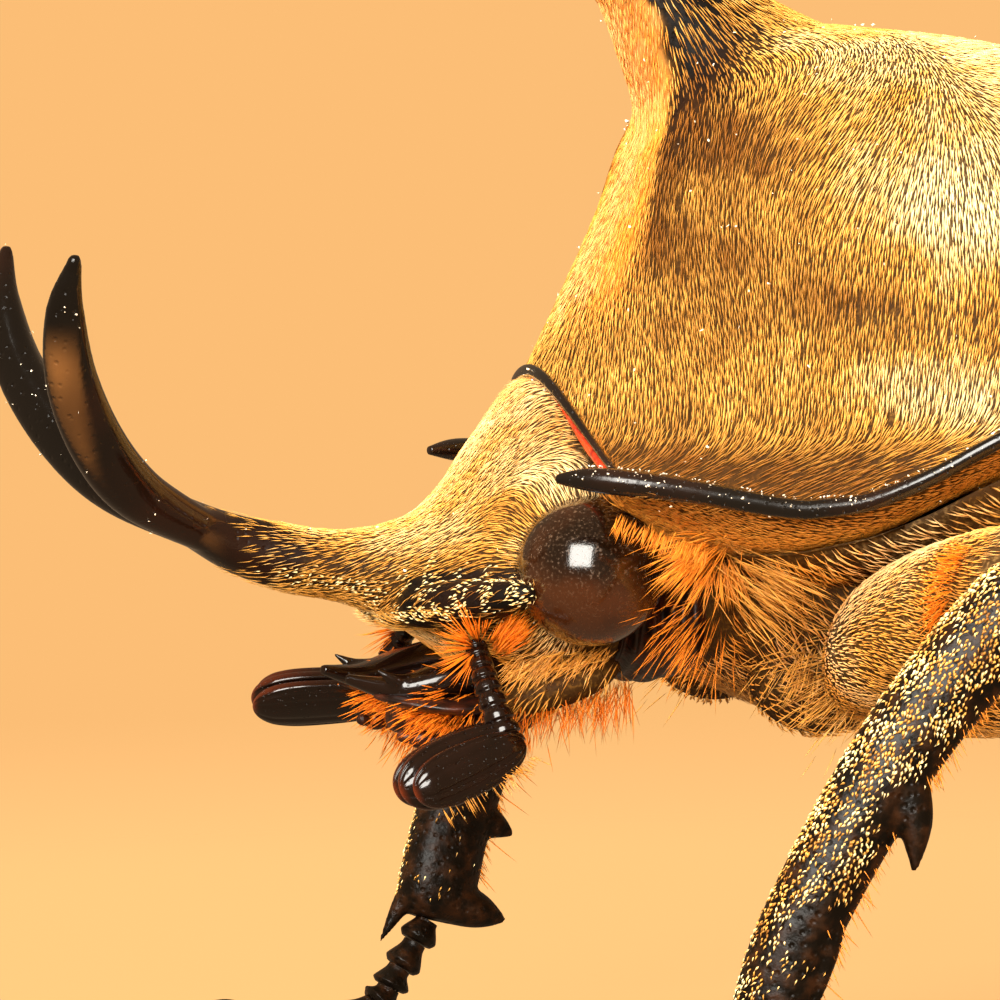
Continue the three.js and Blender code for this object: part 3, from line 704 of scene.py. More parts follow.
# The shield.
shield = {
    # Rows from the front rim to the hind rim: the crest's x and z, the side margin's x, y and z,
    # how bell-shaped the arch is, and how deep the fold under the margin.
    "rows": [
        (0.0, 24.6, 1.0, 10.2, 21.2, 1.0, 1.0),
        (1.3, 27.4, 3.0, 11.9, 20.95, 0.9, 1.9),
        (2.7, 30.4, 5.0, 13.5, 20.8, 0.75, 2.5),
        (3.8, 33.2, 7.0, 14.9, 21.0, 0.6, 2.8),
        (5.4, 35.3, 9.0, 16.0, 21.9, 0.45, 3.0),
        (8.2, 36.3, 11.2, 16.9, 23.2, 0.35, 3.3),
        (11.5, 36.1, 13.6, 17.6, 24.4, 0.25, 3.8),
        (15.2, 35.7, 16.2, 18.0, 25.3, 0.2, 4.2),
        (19.0, 34.8, 19.2, 17.9, 25.8, 0.2, 4.4),
        (22.4, 33.2, 22.3, 17.2, 25.9, 0.2, 4.4),
    ],
    "hindRim": 22.4,
    "mesh": (360, 160),  # points round each ring, and rings
    "unwrap": (-0.5, 23, 20),  # its ends along x, and the height of its middle line
    "dish": {"depth": 0.16, "halfWidth": 2.4, "middle": 0.28, "reach": 0.2},  # the hollow of the front face
    "skinDepth": 0.12,
    "hair": {"gap": 0.066, "reach": 0.28, "length": 0.86, "width": 0.06, "lift": 0.045, "stray": 0.02},
    "foldHair": {"gap": 0.066, "reach": 0.24, "length": 0.5, "width": 0.07, "lift": 0.03, "stray": 0.05},
    # Pale areas, partly the coat's cream and partly painted highlight, and dark areas on each flank: x, z,
    # how long and how high they are, and how strong.
    "paleAndHighlightAreas": [
        (10.7, 30.6, 2.3, 2.1, 0.56),
        (9.4, 24.6, 2.8, 1.8, 0.42),
        (11.5, 35.2, 4.5, 1.5, 0.36),
        (16.5, 29.5, 4.0, 3.0, 0.34),
    ],
    "darkAreas": [
        (4.4, 33.4, 1.4, 2.0, 0.7),
        (6.5, 32.4, 1.5, 1.3, 0.55),
        (3.0, 21.9, 2.6, 1.0, 0.8),
        (7.9, 27.3, 1.8, 0.7, 0.4),
        (3.8, 28.6, 0.9, 2.2, 0.3),
        (13.0, 27.0, 3.0, 1.4, 0.4),
    ],
    "spots": [(7.8, 27.3, 0.26), (6.35, 32.3, 0.2), (17.5, 32.0, 0.25)],  # bare dark spots: x, z and size
}
crestFoot = np.array([5.4, 0.0, 35.8])
crestHorn = {
    "stations": [
        (7.6, 0, 33.4, 3.8, 3.8),
        (5.4, 0, 35.8, 2.7, 2.8),
        (3.9, 0, 37.7, 1.9, 2.0),
        (2.3, 0, 39.3, 1.3, 1.35),
        (1.0, 0, 40.4, 0.85, 0.85),
        (0.4, 0, 40.9, 0.3, 0.3),
    ],
    "blend": 4.4,  # how far from its foot the horn melts into the shield
    "softening": 120,
    "grain": 0.2,
    "mesh": (72, 80),
}
crestWay = unit(np.array(crestHorn["stations"][-1][:3]) - crestHorn["stations"][0][:3])


def shieldPoint(t, angle):
    xTop, zTop, xSide, ySide, zSide, bell, fold = columns(shield["rows"], t)
    turn = np.where(angle > math.pi, angle - math.tau, angle)
    share = np.abs(turn) / (math.pi / 2)
    hand = np.where(turn < 0, -1.0, 1.0)
    inwards = (share - 1) * math.pi / 2
    out = mix(np.sin(share * math.pi / 2), share, bell)
    height = mix(np.cos(share * math.pi / 2), (1 + np.cos(share * math.pi)) / 2, bell)
    y = ySide * out
    dish = shield["dish"]
    across, along = y / dish["halfWidth"], (t - dish["middle"]) / dish["reach"]
    hollow = dish["depth"] * np.exp(-(across**2) - along**2)
    above = np.stack([mix(xSide, xTop, height) + hollow, -hand * y, mix(zSide, zTop, height)], -1)
    under = np.stack([xSide, -hand * ySide * np.cos(inwards), zSide - fold * np.sin(inwards)], -1)
    return np.where((share > 1)[..., None], under, above)


def ridgeOf(points):
    # How far from the middle the ridge stands that bounds the front face.
    return 2.0 + 0.28 * np.clip(33.5 - points[:, 2], 0, 6) + 0.1 * ripple(points, 1.5, 17)


def frontOf(points, normals):
    # 1 on the front face, up to the tip of the crest's horn.
    x, y, z = points.T
    ridge = ridgeOf(points)
    soft = 0.3 + 0.9 * smooth(32, 28, z)
    inside = smooth(ridge + soft, ridge - soft, np.abs(y))
    return inside * smooth(-0.3, -0.5, normals[:, 0]) * smooth(25, 28.5, z)


def upTheHorn(points):
    return (points - crestFoot) @ crestWay


def inAreas(points, areas):
    x, y, z = points.T
    return sum(strength * bump(x, px, long) * bump(z, pz, high) for px, pz, long, high, strength in areas)


def marginAt(x):
    # The side margin's distance from the middle and its height.
    rows = columns(shield["rows"], np.clip(x / shield["hindRim"], 0, 1))
    return rows[3], rows[4]


def shadeOf(points, normals):
    # Where the coat is darker and thinner: behind the front face, along the margin, and in blotches.
    x, y, z = points.T
    beside = np.abs(y) - ridgeOf(points)
    ridge = smooth(-0.4, 0.6, beside) * smooth(3.0, 0.2, beside) * smooth(26, 30.5, z) * smooth(7.5, 5.5, x)
    low = marginAt(x)[1]
    nearMargin = bump(z, low + 0.3, 1.5) * smooth(12, 8, x) * (normals[:, 2] > -0.3)
    blotches = inAreas(points, shield["darkAreas"]) * (0.75 + 0.3 * ripple(points, 1.6, 15))
    dark = np.clip(0.62 * ridge + 0.75 * nearMargin + blotches, 0, 1)
    return dark * (1 - frontOf(points, normals))


def shieldMarks(points, normals):
    # Golden to cream on the flanks, the cream partly painted highlight, golden brown below, with painted
    # shade in the fold under the margin, and orange on the front face but for its middle, partly painted
    # backlit glow.
    x, y, z = points.T
    under = smooth(0.1, -0.35, normals[:, 2]) * smooth(30, 28, z)
    front = frontOf(points, normals)
    dark = shadeOf(points, normals)
    pale = 0.4 + 0.08 * ripple(points, 9, 3) + 0.06 * ripple(points, 2.5, 4)
    # Partly painted highlight: the pale areas here, and the lighter back of the flanks below, brighten the
    # coat where the lamps' sheen falls.
    pale = pale + inAreas(points, shield["paleAndHighlightAreas"])
    # Partly painted light: the front face keeps its own orange but is painted bright, paler in the middle, as
    # the glow of backlit hairs.
    middle = smooth(3.5, 0.5, np.abs(y))
    pale = mix(pale + 0.07 * smooth(10, 14, x) - 0.5 * dark, 0.48 + 0.2 * middle, front)
    # Painted shade: darker and less orange in the fold just under the margin, where the margin overhangs it.
    inFold = smooth(1.7, 0.3, marginAt(x)[1] - z) * under
    ember = (0.48 - 0.1 * middle) * front + under * 0.36 + 0.08 + 0.08 * dark
    return np.clip(mix(pale, 0.56, under) - 0.6 * inFold, 0, 1), np.clip(ember - 0.2 * inFold, 0, 1)


def shieldLie(points, normals):
    # Down the flanks, forward along the margins and below, and away from the horn round its foot.
    x, y, z = points.T
    side = np.tanh(y / 1.5)
    slant = 0.1 + inAreas(points, [(7.8, 32.2, 2.8, 2.4, 0.75), (9.5, 25.8, 4.0, 2.2, 0.4)])
    down = np.stack([-slant, side * 0.5, np.full(len(x), -1.0)], -1)
    forward = np.stack([-np.ones(len(x)), 0.1 * side, 0.12 - 0.2 * smooth(3, 12, x)], -1)
    margin = smooth(24.0, 21.4, z - 0.12 * np.clip(x, 0, 20))[:, None]
    under = (smooth(0.1, -0.3, normals[:, 2]) * smooth(30, 28, z))[:, None]
    away = unit(points - crestFoot - crestWay * 1.5)
    nearHorn = smooth(7.5, 2.5, np.linalg.norm(points - crestFoot, axis=1))[:, None]
    way = mix(down, forward, margin * 0.95)
    way = mix(way, np.array([1.0, 0, 0]), (smooth(0.7, 0.95, normals[:, 2]) * smooth(11, 15, x))[:, None])
    way = mix(way, away * 1.2, nearHorn * 0.9)
    way = mix(way, np.array([-1.0, 0, 0.05]), under)
    way = mix(way, np.array([0.2, 0, -1.0]), frontOf(points, normals)[:, None] * smooth(33, 35, z)[:, None])
    swirl = 0.1 * ripple(points, 9, 11)[:, None]
    return way + np.cross(normals, way) * swirl


def shieldCover(points, normals):
    # Bare at both rims and below the head's joint, and thinner round the horn's foot and in the dark areas.
    x, y, z = points.T
    ends = smooth(0.0, 0.35, x) * smooth(0, 0.5, shield["hindRim"] - x)
    height = upTheHorn(points) + 0.3 * ripple(points, 1.1, 19)
    furry = np.maximum(smooth(3.6, -1.2, height), frontOf(points, normals) * smooth(4.8, 3.2, height))
    cover = ends * np.where(z > 33, furry, 1) * ((normals[:, 2] > -0.2) | (z > 33))
    cover = cover * (1 - 0.55 * shadeOf(points, normals))
    for sx, sz, size in shield["spots"]:
        cover = cover * (1 - 0.9 * bump(np.hypot(x - sx, z - sz), 0, size))
    return cover


def foldCover(points, normals):
    # Only the outer strip under the margin, as the rest of the fold never shows.
    x, y, z = points.T
    inFold = (normals[:, 2] <= -0.2) * (z < 30) * (np.abs(y) > marginAt(x)[0] - 7.0)
    return inFold * smooth(0.0, 0.4, x) * smooth(0, 0.5, shield["hindRim"] - x)


arch = loft(shieldPoint, *shield["mesh"])
horn = limb(crestHorn["stations"], (0, 1, 0), *crestHorn["mesh"])
shieldShape = fused([arch, horn], crestHorn["grain"], 2)
fromFoot = np.linalg.norm(shieldShape[0] - crestFoot + crestWay * 0.4, axis=1)
melting = 0.5 * smooth(crestHorn["blend"], crestHorn["blend"] * 0.6, fromFoot)
shieldShape = softened(shieldShape, melting, crestHorn["softening"])
shieldSkin = sunk(shieldShape, shield["skinDepth"])
shieldNormals = normalsOf(shieldSkin)
pale, ember = shieldMarks(shieldSkin[0], shieldNormals)
height = upTheHorn(shieldSkin[0])
onFront = frontOf(shieldSkin[0], shieldNormals)
bare = smooth(-3.0, -0.4, height - 4.6 * onFront + 0.35 * ripple(shieldSkin[0], 0.9, 23))
values = {"pale": pale, "ember": ember, "bare": bare}
values.update(gloss=smooth(1.5, 4.0, height), pits=smooth(5.0, 2.5, height))
piece("shield", shieldSkin, finishes["velvet"], ["pronotum", "crest_horn"], values)
unwrap = aroundX(*shield["unwrap"])
count = 0
strips = {"shield_hair": (shield["hair"], shieldCover), "shield_fold_hair": (shield["foldHair"], foldCover)}
for number, (name, (look, cover)) in enumerate(strips.items()):
    count += coat(name, shieldSkin, look, number + 1, shieldLie, cover, shieldMarks, unwrap)
print("shield", count, "hairs")


# The horns at the shield's front corners, and the bead that goes on from them along its margin.
cornerHorn = {
    "horn": [
        (-1.35, -8.8, 21.5, 0.15, 0.15),
        (-0.2, -9.4, 21.48, 0.4, 0.42),
        (1.9, -10.75, 21.25, 0.42, 0.45),
    ],
    "beadFrom": 0.22,  # where the horn turns into the margin's bead, as a share of the shield's length
    "bead": 0.21,
    "points": 14,
    "mesh": (24, 260),
}
beadShares = np.linspace(cornerHorn["beadFrom"], 0.995, cornerHorn["points"])
margin = shieldPoint(beadShares, np.full(cornerHorn["points"], math.pi / 2)) + [0.0, 0.05, -0.05]
thick = 0.12 * np.linspace(1, 0, cornerHorn["points"]) ** 2 + cornerHorn["bead"]
bead = [(*p, w, w * 0.9) for p, w in zip(margin, thick)]
cornerShape = limb(cornerHorn["horn"] + bead, (0, 0, 1), *cornerHorn["mesh"])
for hand, sign in hands.items():
    own = onHand(cornerShape, sign)
    pits = smooth(-1.6, 0.4, own[0][:, 0])
    piece(f"corner_horn_{hand}", own, finishes["horn"], [f"corner_horn_{hand}"], {"pits": pits})
print("horns of the shield")

# The rim of the shield's front, and the skin of the joint inside it.
collar = {"thickness": 0.19, "atSides": 0.12, "joint": 0.15, "reach": 0.93, "points": 25, "mesh": (20, 260)}
turns = np.linspace(-collar["reach"], collar["reach"], collar["points"])
rim = shieldPoint(np.full(collar["points"], 0.004), turns * math.pi / 2 % math.tau)
thick = mix(collar["thickness"], collar["atSides"], smooth(0.15, 0.6, np.abs(turns)))
rimStations = [(*p, size, size * 1.2) for p, size in zip(rim + [-0.02, 0, -0.06], thick)]
collarShape = limb(rimStations, (1, 0, 0), *collar["mesh"])
piece("collar", collarShape, finishes["horn"], (), {"pits": np.ones(len(collarShape[0]))})
# The red skin of the joint shows at the sides only.
thick = 0.04 + collar["joint"] * smooth(0.25, 0.55, np.abs(turns)) * smooth(0.78, 0.66, np.abs(turns))
jointStations = [(*p, size, size) for p, size in zip(rim * [1, 0.985, 1] + [-0.02, 0, -0.3], thick)]
piece("neck_joint", limb(jointStations, (1, 0, 0), *collar["mesh"]), finishes["membrane"])
print("collar")

# The head, its forked horn and the ledges in front of the eyes.
head = {
    # Rows forward from inside the neck: x, half width, top and bottom.
    "rows": [
        (3.2, 5.0, 23.4, 15.0),
        (1.6, 5.8, 24.1, 14.0),
        (0.0, 6.1, 24.35, 13.6),
        (-1.4, 5.6, 22.8, 13.9),
        (-2.6, 4.6, 21.1, 14.8),
        (-3.8, 3.5, 20.0, 15.7),
        (-5.2, 2.2, 19.5, 16.6),
    ],
    "stem": [
        (-4.9, 2.35, 19.55, 16.4),
        (-6.6, 1.6, 19.4, 17.0),
        (-8.6, 1.3, 19.7, 17.4),
        (-10.4, 1.2, 20.15, 18.05),
        (-12.2, 1.5, 20.85, 19.2),
    ],
    # The left tine's middle line, with its half width and half depth.
    "tine": [
        (-11.2, -0.5, 19.45, 0.7, 0.75),
        (-13.6, -1.6, 20.8, 0.95, 0.95),
        (-15.2, -3.1, 22.5, 0.9, 0.98),
        (-16.35, -4.7, 24.7, 0.75, 0.9),
        (-16.75, -5.8, 26.9, 0.58, 0.68),
        (-16.55, -6.4, 28.5, 0.25, 0.3),
    ],
    "tineTip": ((-16.55, -6.4, 28.5), 0.31),
    "skinDepth": 0.06,
    "grain": 0.13,
    # A dark ledge from the cheek to the front of each eye.
    "ledge": [
        (-4.8, -0.9, 16.9, 0.9, 0.8),
        (-3.9, -2.9, 17.1, 1.05, 0.85),
        (-2.9, -4.9, 17.3, 0.95, 0.75),
        (-2.05, -6.4, 17.6, 0.6, 0.5),
        (-1.6, -7.0, 17.75, 0.22, 0.2),
    ],
    "hair": {"gap": 0.058, "reach": 0.24, "length": 0.6, "width": 0.052, "lift": 0.06, "stray": 0.05},
    "scales": {
        "finish": "scale",
        **{"gap": 0.085, "reach": 0.16, "length": 0.24, "width": 0.08, "lift": 0.03, "stray": 0.3},
    },
    "furEnds": (-6.5, -11.3),  # along the horn, from full fur to none
    "mesh": {"rows": (90, 60), "stem": (60, 60), "tine": (40, 90), "ledge": (40, 60)},
    "unwrap": (-17, 3, 19),
}
eye = {"centre": (0.6, -5.6, 18.3), "radius": 2.47, "mesh": (120, 90)}


def tineRelief(t, angle):
    # Long flat faces with a ridge between them.
    return 1 + 0.09 * np.cos(3 * angle + 0.6) * smooth(0.05, 0.3, t) * smooth(1.0, 0.8, t)


headParts = [barrel(head[key], *head["mesh"][key]) for key in ("rows", "stem")]
for sign in hands.values():
    headParts.append(onHand(limb(head["tine"], (0, 1, 0), *head["mesh"]["tine"], 1.0, tineRelief), sign))
    headParts.append(onHand(ball(*head["tineTip"]), sign))
    headParts.append(onHand(limb(head["ledge"], (1, 0, 0), *head["mesh"]["ledge"], 0.85), sign))
headShape = fused(headParts, head["grain"], 4)
headSkin = sunk(headShape, head["skinDepth"])


def ledgeOf(points):
    # 1 on the dark ledges and just below them.
    path = between(head["ledge"], np.linspace(0.25, 1, 16))[:, :3]
    across = points * [1, 0, 1] + np.abs(points) * [0, -1, 0]
    near = np.min(np.linalg.norm(across[:, None] - path, axis=-1), axis=1)
    return smooth(1.5, 0.95, near + 0.15 * ripple(points, 0.8, 25)) * smooth(1.5, 2.6, np.abs(points[:, 1]))


def sideOfHorn(points, normals):
    # The horn's lower flanks are thinly haired.
    x, y, z = points.T
    streaks = 0.75 + 0.25 * ripple(points * [0.4, 1, 1], 0.9, 29)
    flank = smooth(0.45, 0.75, np.abs(normals[:, 1])) * smooth(0.6, 0.2, normals[:, 2])
    return smooth(-3.6, -6.5, x) * flank * streaks


def hornMarks(points, normals):
    # How bare and how polished the horn is, and a painted reflection: how much warm tan is painted on each
    # tine's flat outer face, as a lit surface mirrored there.
    x, y, z = points.T
    front = smooth(-6.4, -8.6, x + 0.4 * ripple(points, 1.2, 5) - 0.9 * normals[:, 2])
    bare = np.maximum(np.maximum(front, ledgeOf(points)), 0.9 * sideOfHorn(points, normals))
    gloss = smooth(-8.5, -11.5, x)
    # The painted reflection lies where the face turns outward and forward.
    facing = normals @ [-0.42, 0, -0.12] + np.abs(normals[:, 1]) * np.sign(y * normals[:, 1]) * 0.9
    glow = smooth(0.76, 0.84, facing) * (0.6 + 0.4 * smooth(0.84, 0.97, facing))
    glow = glow * smooth(-10.4, -12.4, x) * smooth(26.6, 24.8, z)
    return bare, gloss, glow * (0.75 + 0.25 * ripple(points, 2.2, 27))


def headMarks(points, normals):
    # Cream on the crown, golden on the horn, and dark in front of the eyes and below.
    x, y, z = points.T
    low = smooth(16.4, 14.6, z) * smooth(-5.5, -4, x)
    side = bump(z, 17.4, 1.6) * bump(x, -2.8, 2.2) * smooth(1.2, 2.6, np.abs(y))
    pale = 0.66 + 0.08 * ripple(points, 3.5, 21) - 0.16 * smooth(-3, -7, x) - 0.25 * low - 0.5 * side
    pale = pale - 0.35 * bump(np.hypot(x + 1.6, z - 20.2), 0, 0.8)
    ember = 0.2 + 0.3 * low + 0.12 * smooth(-2.5, -0.5, x) * smooth(21, 23.5, z)
    return np.clip(pale, 0, 1), np.clip(ember, 0, 1)


def headLie(points, normals):
    # Forward along the head and horn, and outward round the eyes.
    out = points - eye["centre"] * np.where(points[:, 1:2] < 0, 1, [1, -1, 1])
    reach = np.linalg.norm(out, axis=1)
    near = np.exp(-(((reach - eye["radius"]) / 1.0) ** 2))[:, None]
    way = mix(np.array([-1.0, 0, -0.2]), unit(out) * 1.3, near * 0.8)
    swirl = 0.12 * ripple(points, 5, 31)[:, None]
    return way + np.cross(normals, way) * swirl


def headCover(points, normals):
    x, y, z = points.T
    full, none = head["furEnds"]
    horn = smooth(none, full, x) ** 1.5
    scaly = (1 - 0.95 * ledgeOf(points)) * (1 - 0.72 * np.clip(sideOfHorn(points, normals), 0, 1))
    inShield = smooth(0.5, 0.1, x - 0.09 * np.abs(y))
    return horn * scaly * inShield


headNormals = normalsOf(headSkin)
pale, ember = headMarks(headSkin[0], headNormals)
bare, gloss, glow = hornMarks(headSkin[0], headNormals)
values = {"pale": pale, "ember": ember * 0.5, "bare": bare, "gloss": gloss, "glow": glow}
values.update(pits=np.ones(len(pale)))
nodesOfHead = ["head", "horn_stem", "horn_tine_left", "horn_tine_right"]
piece("head_and_horn", headSkin, finishes["velvet"], nodesOfHead, values)
unwrap = aroundX(*head["unwrap"])
count = coat("head_hair", headSkin, head["hair"], 3, headLie, headCover, headMarks, unwrap)


def scaleCover(points, normals):
    # Pale scales along the lower edges of the horn and the mouth's shield, and in patches on the ledges.
    x, y, z = points.T
    edge = bump(normals[:, 2], -0.45, 0.22) * smooth(0.15, 0.4, np.abs(y))
    edge = edge * smooth(-9.5, -7.5, x) * smooth(-3.4, -4.2, x)
    patches = ledgeOf(points) * smooth(-0.5, 0.6, ripple(points, 1.1, 33)) * smooth(0.95, 0.7, -normals[:, 2])
    return np.clip(edge + 0.8 * patches * smooth(-1.3, -1.8, x), 0, 1)


def scaleMarks(points, normals):
    return np.full(len(points), 0.82), np.full(len(points), 0.03)


count += coat("head_scales", headSkin, head["scales"], 6, headLie, scaleCover, scaleMarks, unwrap)
print("head", count, "hairs")

for hand, sign in hands.items():
    shape = onHand(ball(eye["centre"], np.array([1.0, 1.02, 1.0]) * eye["radius"], *eye["mesh"]), sign)
    # The eye's lower part, for its painted reflection of the surface beneath.
    low = smooth(0.3, -1.1, shape[0][:, 2] - eye["centre"][2])
    piece(f"eye_{hand}", shape, finishes["eye"], [f"eye_{hand}"], {"pale": low})
print("eyes")

# The feelers.
feeler = {
    "beads": 9,
    "roots": {"left": (-3.0, -4.6, 15.9), "right": (-3.0, 4.6, 15.9)},
    "elbows": {"left": (-2.9, -5.8, 14.6), "right": (-3.4, 5.7, 14.7)},
    "wrists": {"left": (-2.4, -6.7, 12.75), "right": (-3.8, 6.1, 13.4)},
    "tips": {"left": (-5.65, -7.3, 11.45), "right": (-7.6, 6.8, 13.2)},
    "leans": {"left": (-0.15, -0.95, 0.1), "right": (-0.2, 0.75, 0.6)},
    # Leaves from the inner to the outer one: shift along the lean, height, length more at the tip, and rise.
    "leaves": [(-0.55, 1.0, 0.3, 0.2), (-0.05, 1.06, 0.15, 0.1), (0.5, 0.9, -0.25, -0.12)],
    "thickness": 0.38,
    "halfHeight": 1.0,
    "stalkMesh": (28, 170),
    "leafMesh": (72, 48),
}


def beadRelief(t, angle):
    # Close rings, each a little wider at its far end.
    step = (t * feeler["beads"]) % 1
    return 0.84 + 0.2 * smooth(0.0, 0.55, step) * smooth(1.0, 0.86, step)


def stalkOf(hand):
    path = [feeler[key][hand] for key in ("roots", "elbows", "wrists")]
    stations = [(*p, size, size) for p, size in zip(path, (0.34, 0.44, 0.56))]
    return limb(stations, (0.2, 1, 0), *feeler["stalkMesh"], 1.0, beadRelief)


def clubFrame(hand):
    # The club's wrist and tip, and its three directions: along, across its leaves, and over.
    wrist, tip = np.array(feeler["wrists"][hand]), np.array(feeler["tips"][hand])
    lean = unit(feeler["leans"][hand])
    along = unit(tip - wrist)
    across = unit(lean - along * (lean @ along))
    over = np.cross(along, across)
    return wrist, tip, along, across, over * math.copysign(1, over[2])


def leafOf(hand, shift, height, longer, rise):
    # A long convex leaf with a groove inside its rim. Also how red it is: at the tip and along the rim.
    wrist, tip, along, across, over = clubFrame(hand)
    lean = unit(feeler["leans"][hand])
    start = wrist + lean * shift - along * 0.5 + over * rise
    end = tip + lean * shift * 1.15 + along * (0.35 + longer) + over * rise
    length = np.linalg.norm(end - start)

    def place(t, angle):
        s = 0.5 - 0.5 * np.cos(t * math.pi)
        oval = np.sqrt(np.clip(1 - np.abs(2 * s - 1) ** 2.8, 0, 1))
        high = feeler["halfHeight"] * height * oval * (0.9 + 0.2 * s)
        edge = np.abs(np.sin(angle))
        groove = 1 - 0.3 * bump(edge, 0.84, 0.05) - 0.12 * bump(edge, 0.4, 0.06)
        thick = feeler["thickness"] * np.minimum(1, oval * 1.3) * groove
        centre = start + along * (s * length)[..., None]
        sideways = across * (thick * rounded(np.cos(angle), 0.8))[..., None]
        return centre + sideways + over * (high * np.sin(angle))[..., None]

    around, rings = feeler["leafMesh"]
    shape = loft(place, around, rings)
    t = np.repeat(np.linspace(0, 1, rings), around)
    edge = np.abs(np.sin(np.tile(np.arange(around) / around * math.tau, rings)))
    ember = smooth(0.86, 1.0, t) * 0.8 + 0.3 * smooth(0.93, 0.99, edge) * smooth(0.4, 0.9, t)
    return shape, np.clip(np.append(ember, [0, 1]), 0, 1)


for hand, sign in hands.items():
    piece(f"feeler_stalk_{hand}", stalkOf(hand), finishes["feeler"], [f"antenna_stalk_{hand}"])
    leaves = [leafOf(hand, *leaf) for leaf in feeler["leaves"]]
    shape = merged([leaf[0] for leaf in leaves])
    ember = {"ember": np.concatenate([leaf[1] for leaf in leaves])}
    piece(f"feeler_club_{hand}", shape, finishes["feeler"], [f"antenna_club_{hand}"], ember)
print("feelers")


# Furred pieces: how the underside is marked, and a velvet skin with its coat.
def underMarks(points, normals):
    # Golden below, and more orange on the breast's front.
    x, y, z = points.T
    pale = 0.58 + 0.14 * ripple(points, 4, 51)
    return np.clip(pale, 0, 1), 0.34 + 0.14 * smooth(9, 5, x) * smooth(16, 12, np.abs(y))


def everywhere(points, normals):
    return np.ones(len(points))


def furred(name, shape, nodes, look, seed, lie, unwrap, cover=everywhere, marks=underMarks, depth=0.08):
    skin = sunk(shape, depth)
    pale, ember = marks(skin[0], normalsOf(skin))
    piece(name, skin, finishes["velvet"], nodes, {"pale": pale, "ember": ember * 0.6})
    return coat(f"{name}_hair", skin, look, seed, lie, cover, marks, unwrap)


# The mouth and the neck.
mouth = {
    # Stations of the left side, and rows of the lip.
    "jaw": [
        (-1.8, -2.6, 14.9, 0.9, 0.8),
        (-3.6, -2.9, 14.6, 0.95, 0.6),
        (-5.2, -2.6, 14.3, 0.7, 0.42),
        (-6.7, -1.8, 14.6, 0.16, 0.16),
    ],
    "jawTooth": ((-4.6, -2.9, 14.5), (-6.0, -3.2, 15.0), 0.36),
    "plate": [
        (-1.6, -3.4, 13.9, 0.75, 0.3),
        (-3.4, -3.7, 13.75, 0.95, 0.26),
        (-5.0, -3.3, 13.9, 0.6, 0.2),
        (-5.9, -2.6, 14.1, 0.12, 0.1),
    ],
    "lobe": [
        (-0.8, -3.5, 14.0, 0.8, 0.8),
        (-2.4, -3.4, 13.0, 0.75, 0.7),
        (-3.8, -2.9, 12.6, 0.5, 0.45),
    ],
    "palp": [
        (-2.0, -3.6, 13.2, 0.3, 0.3),
        (-3.4, -3.7, 12.7, 0.3, 0.3),
        (-4.6, -3.3, 12.7, 0.28, 0.28),
        (-5.2, -2.9, 12.8, 0.14, 0.14),
    ],
    "lip": [
        (-0.4, 2.4, 14.4, 12.6),
        (-2.2, 2.3, 14.2, 12.2),
        (-3.8, 1.6, 13.9, 12.3),
        (-4.8, 0.7, 13.5, 12.7),
    ],
    "cheek": [
        (2.1, -3.9, 15.0, 0.3, 0.2),
        (1.5, -3.9, 14.9, 0.8, 0.6),
        (0.3, -4.0, 14.6, 1.2, 0.85),
        (-1.2, -4.1, 14.1, 1.0, 0.7),
        (-2.2, -3.9, 13.9, 0.3, 0.3),
    ],
    "cheekHair": {"gap": 0.11, "reach": 0.3, "length": 0.9, "width": 0.05, "lift": 0.35, "stray": 0.28},
    "neck": [(2.0, 4.4, 18.6, 14.6), (3.6, 5.0, 18.8, 14.2), (5.8, 5.4, 18.8, 14.8)],
    "mesh": {"jaw": (48, 60), "lobe": (40, 50), "plate": (40, 60), "palp": (30, 120), "cheek": (50, 60)},
    "lipMesh": (60, 50),
    "neckMesh": (64, 60),
}


def cheekMarks(points, normals):
    return 0.3 + 0.2 * ripple(points, 1.5, 55), np.full(len(points), 0.22)


def cheekCover(points, normals):
    # In clumps, with dark skin between them.
    return smooth(-0.35, 0.35, ripple(points, 0.9, 57) + 0.25 * normals[:, 2])


def cheekLie(points, normals):
    return np.tile([-0.5, 0.1, -0.9], (len(points), 1))


def mouthPart(key, square=1.0, relief=None):
    return limb(mouth[key], (0, 1, 0), *mouth["mesh"][key], square, relief)


def palpRelief(t, angle):
    # Four joints, each a little wider at its far end.
    step = (t * 4) % 1
    return 0.78 + 0.32 * smooth(0, 0.6, step) * smooth(1, 0.8, step)


def neckFolds(t, angle):
    return 1 + 0.03 * np.sin(t * 40 + 0.6 * np.sin(angle * 3))


for hand, sign in hands.items():
    tooth = spike(*mouth["jawTooth"], (0, -0.1, -0.15))
    jaw = fused([mouthPart("jaw", 0.8), tooth], 0.07, 2)
    piece(f"jaw_{hand}", onHand(jaw, sign), finishes["feeler"], [f"mandible_{hand}"])
    parts = [mouthPart("lobe"), mouthPart("plate"), mouthPart("palp", 1.0, palpRelief)]
    piece(f"maxilla_{hand}", onHand(merged(parts), sign), finishes["mouth"], [f"maxilla_{hand}"])
    cheek = onHand(mouthPart("cheek"), sign)
    unwrap = aroundLine((2, 4 * sign, 15), (-2, 4 * sign, 14))
    look = mouth["cheekHair"]
    furred(f"cheek_{hand}", cheek, (), look, 50 + sign, cheekLie, unwrap, cheekCover, cheekMarks)
piece("lip", barrel(mouth["lip"], *mouth["lipMesh"]), finishes["mouth"], ["labium"])
neck = barrel(mouth["neck"], *mouth["neckMesh"], neckFolds)
piece("neck", neck, finishes["mouth"], ["neck"])
print("mouth")

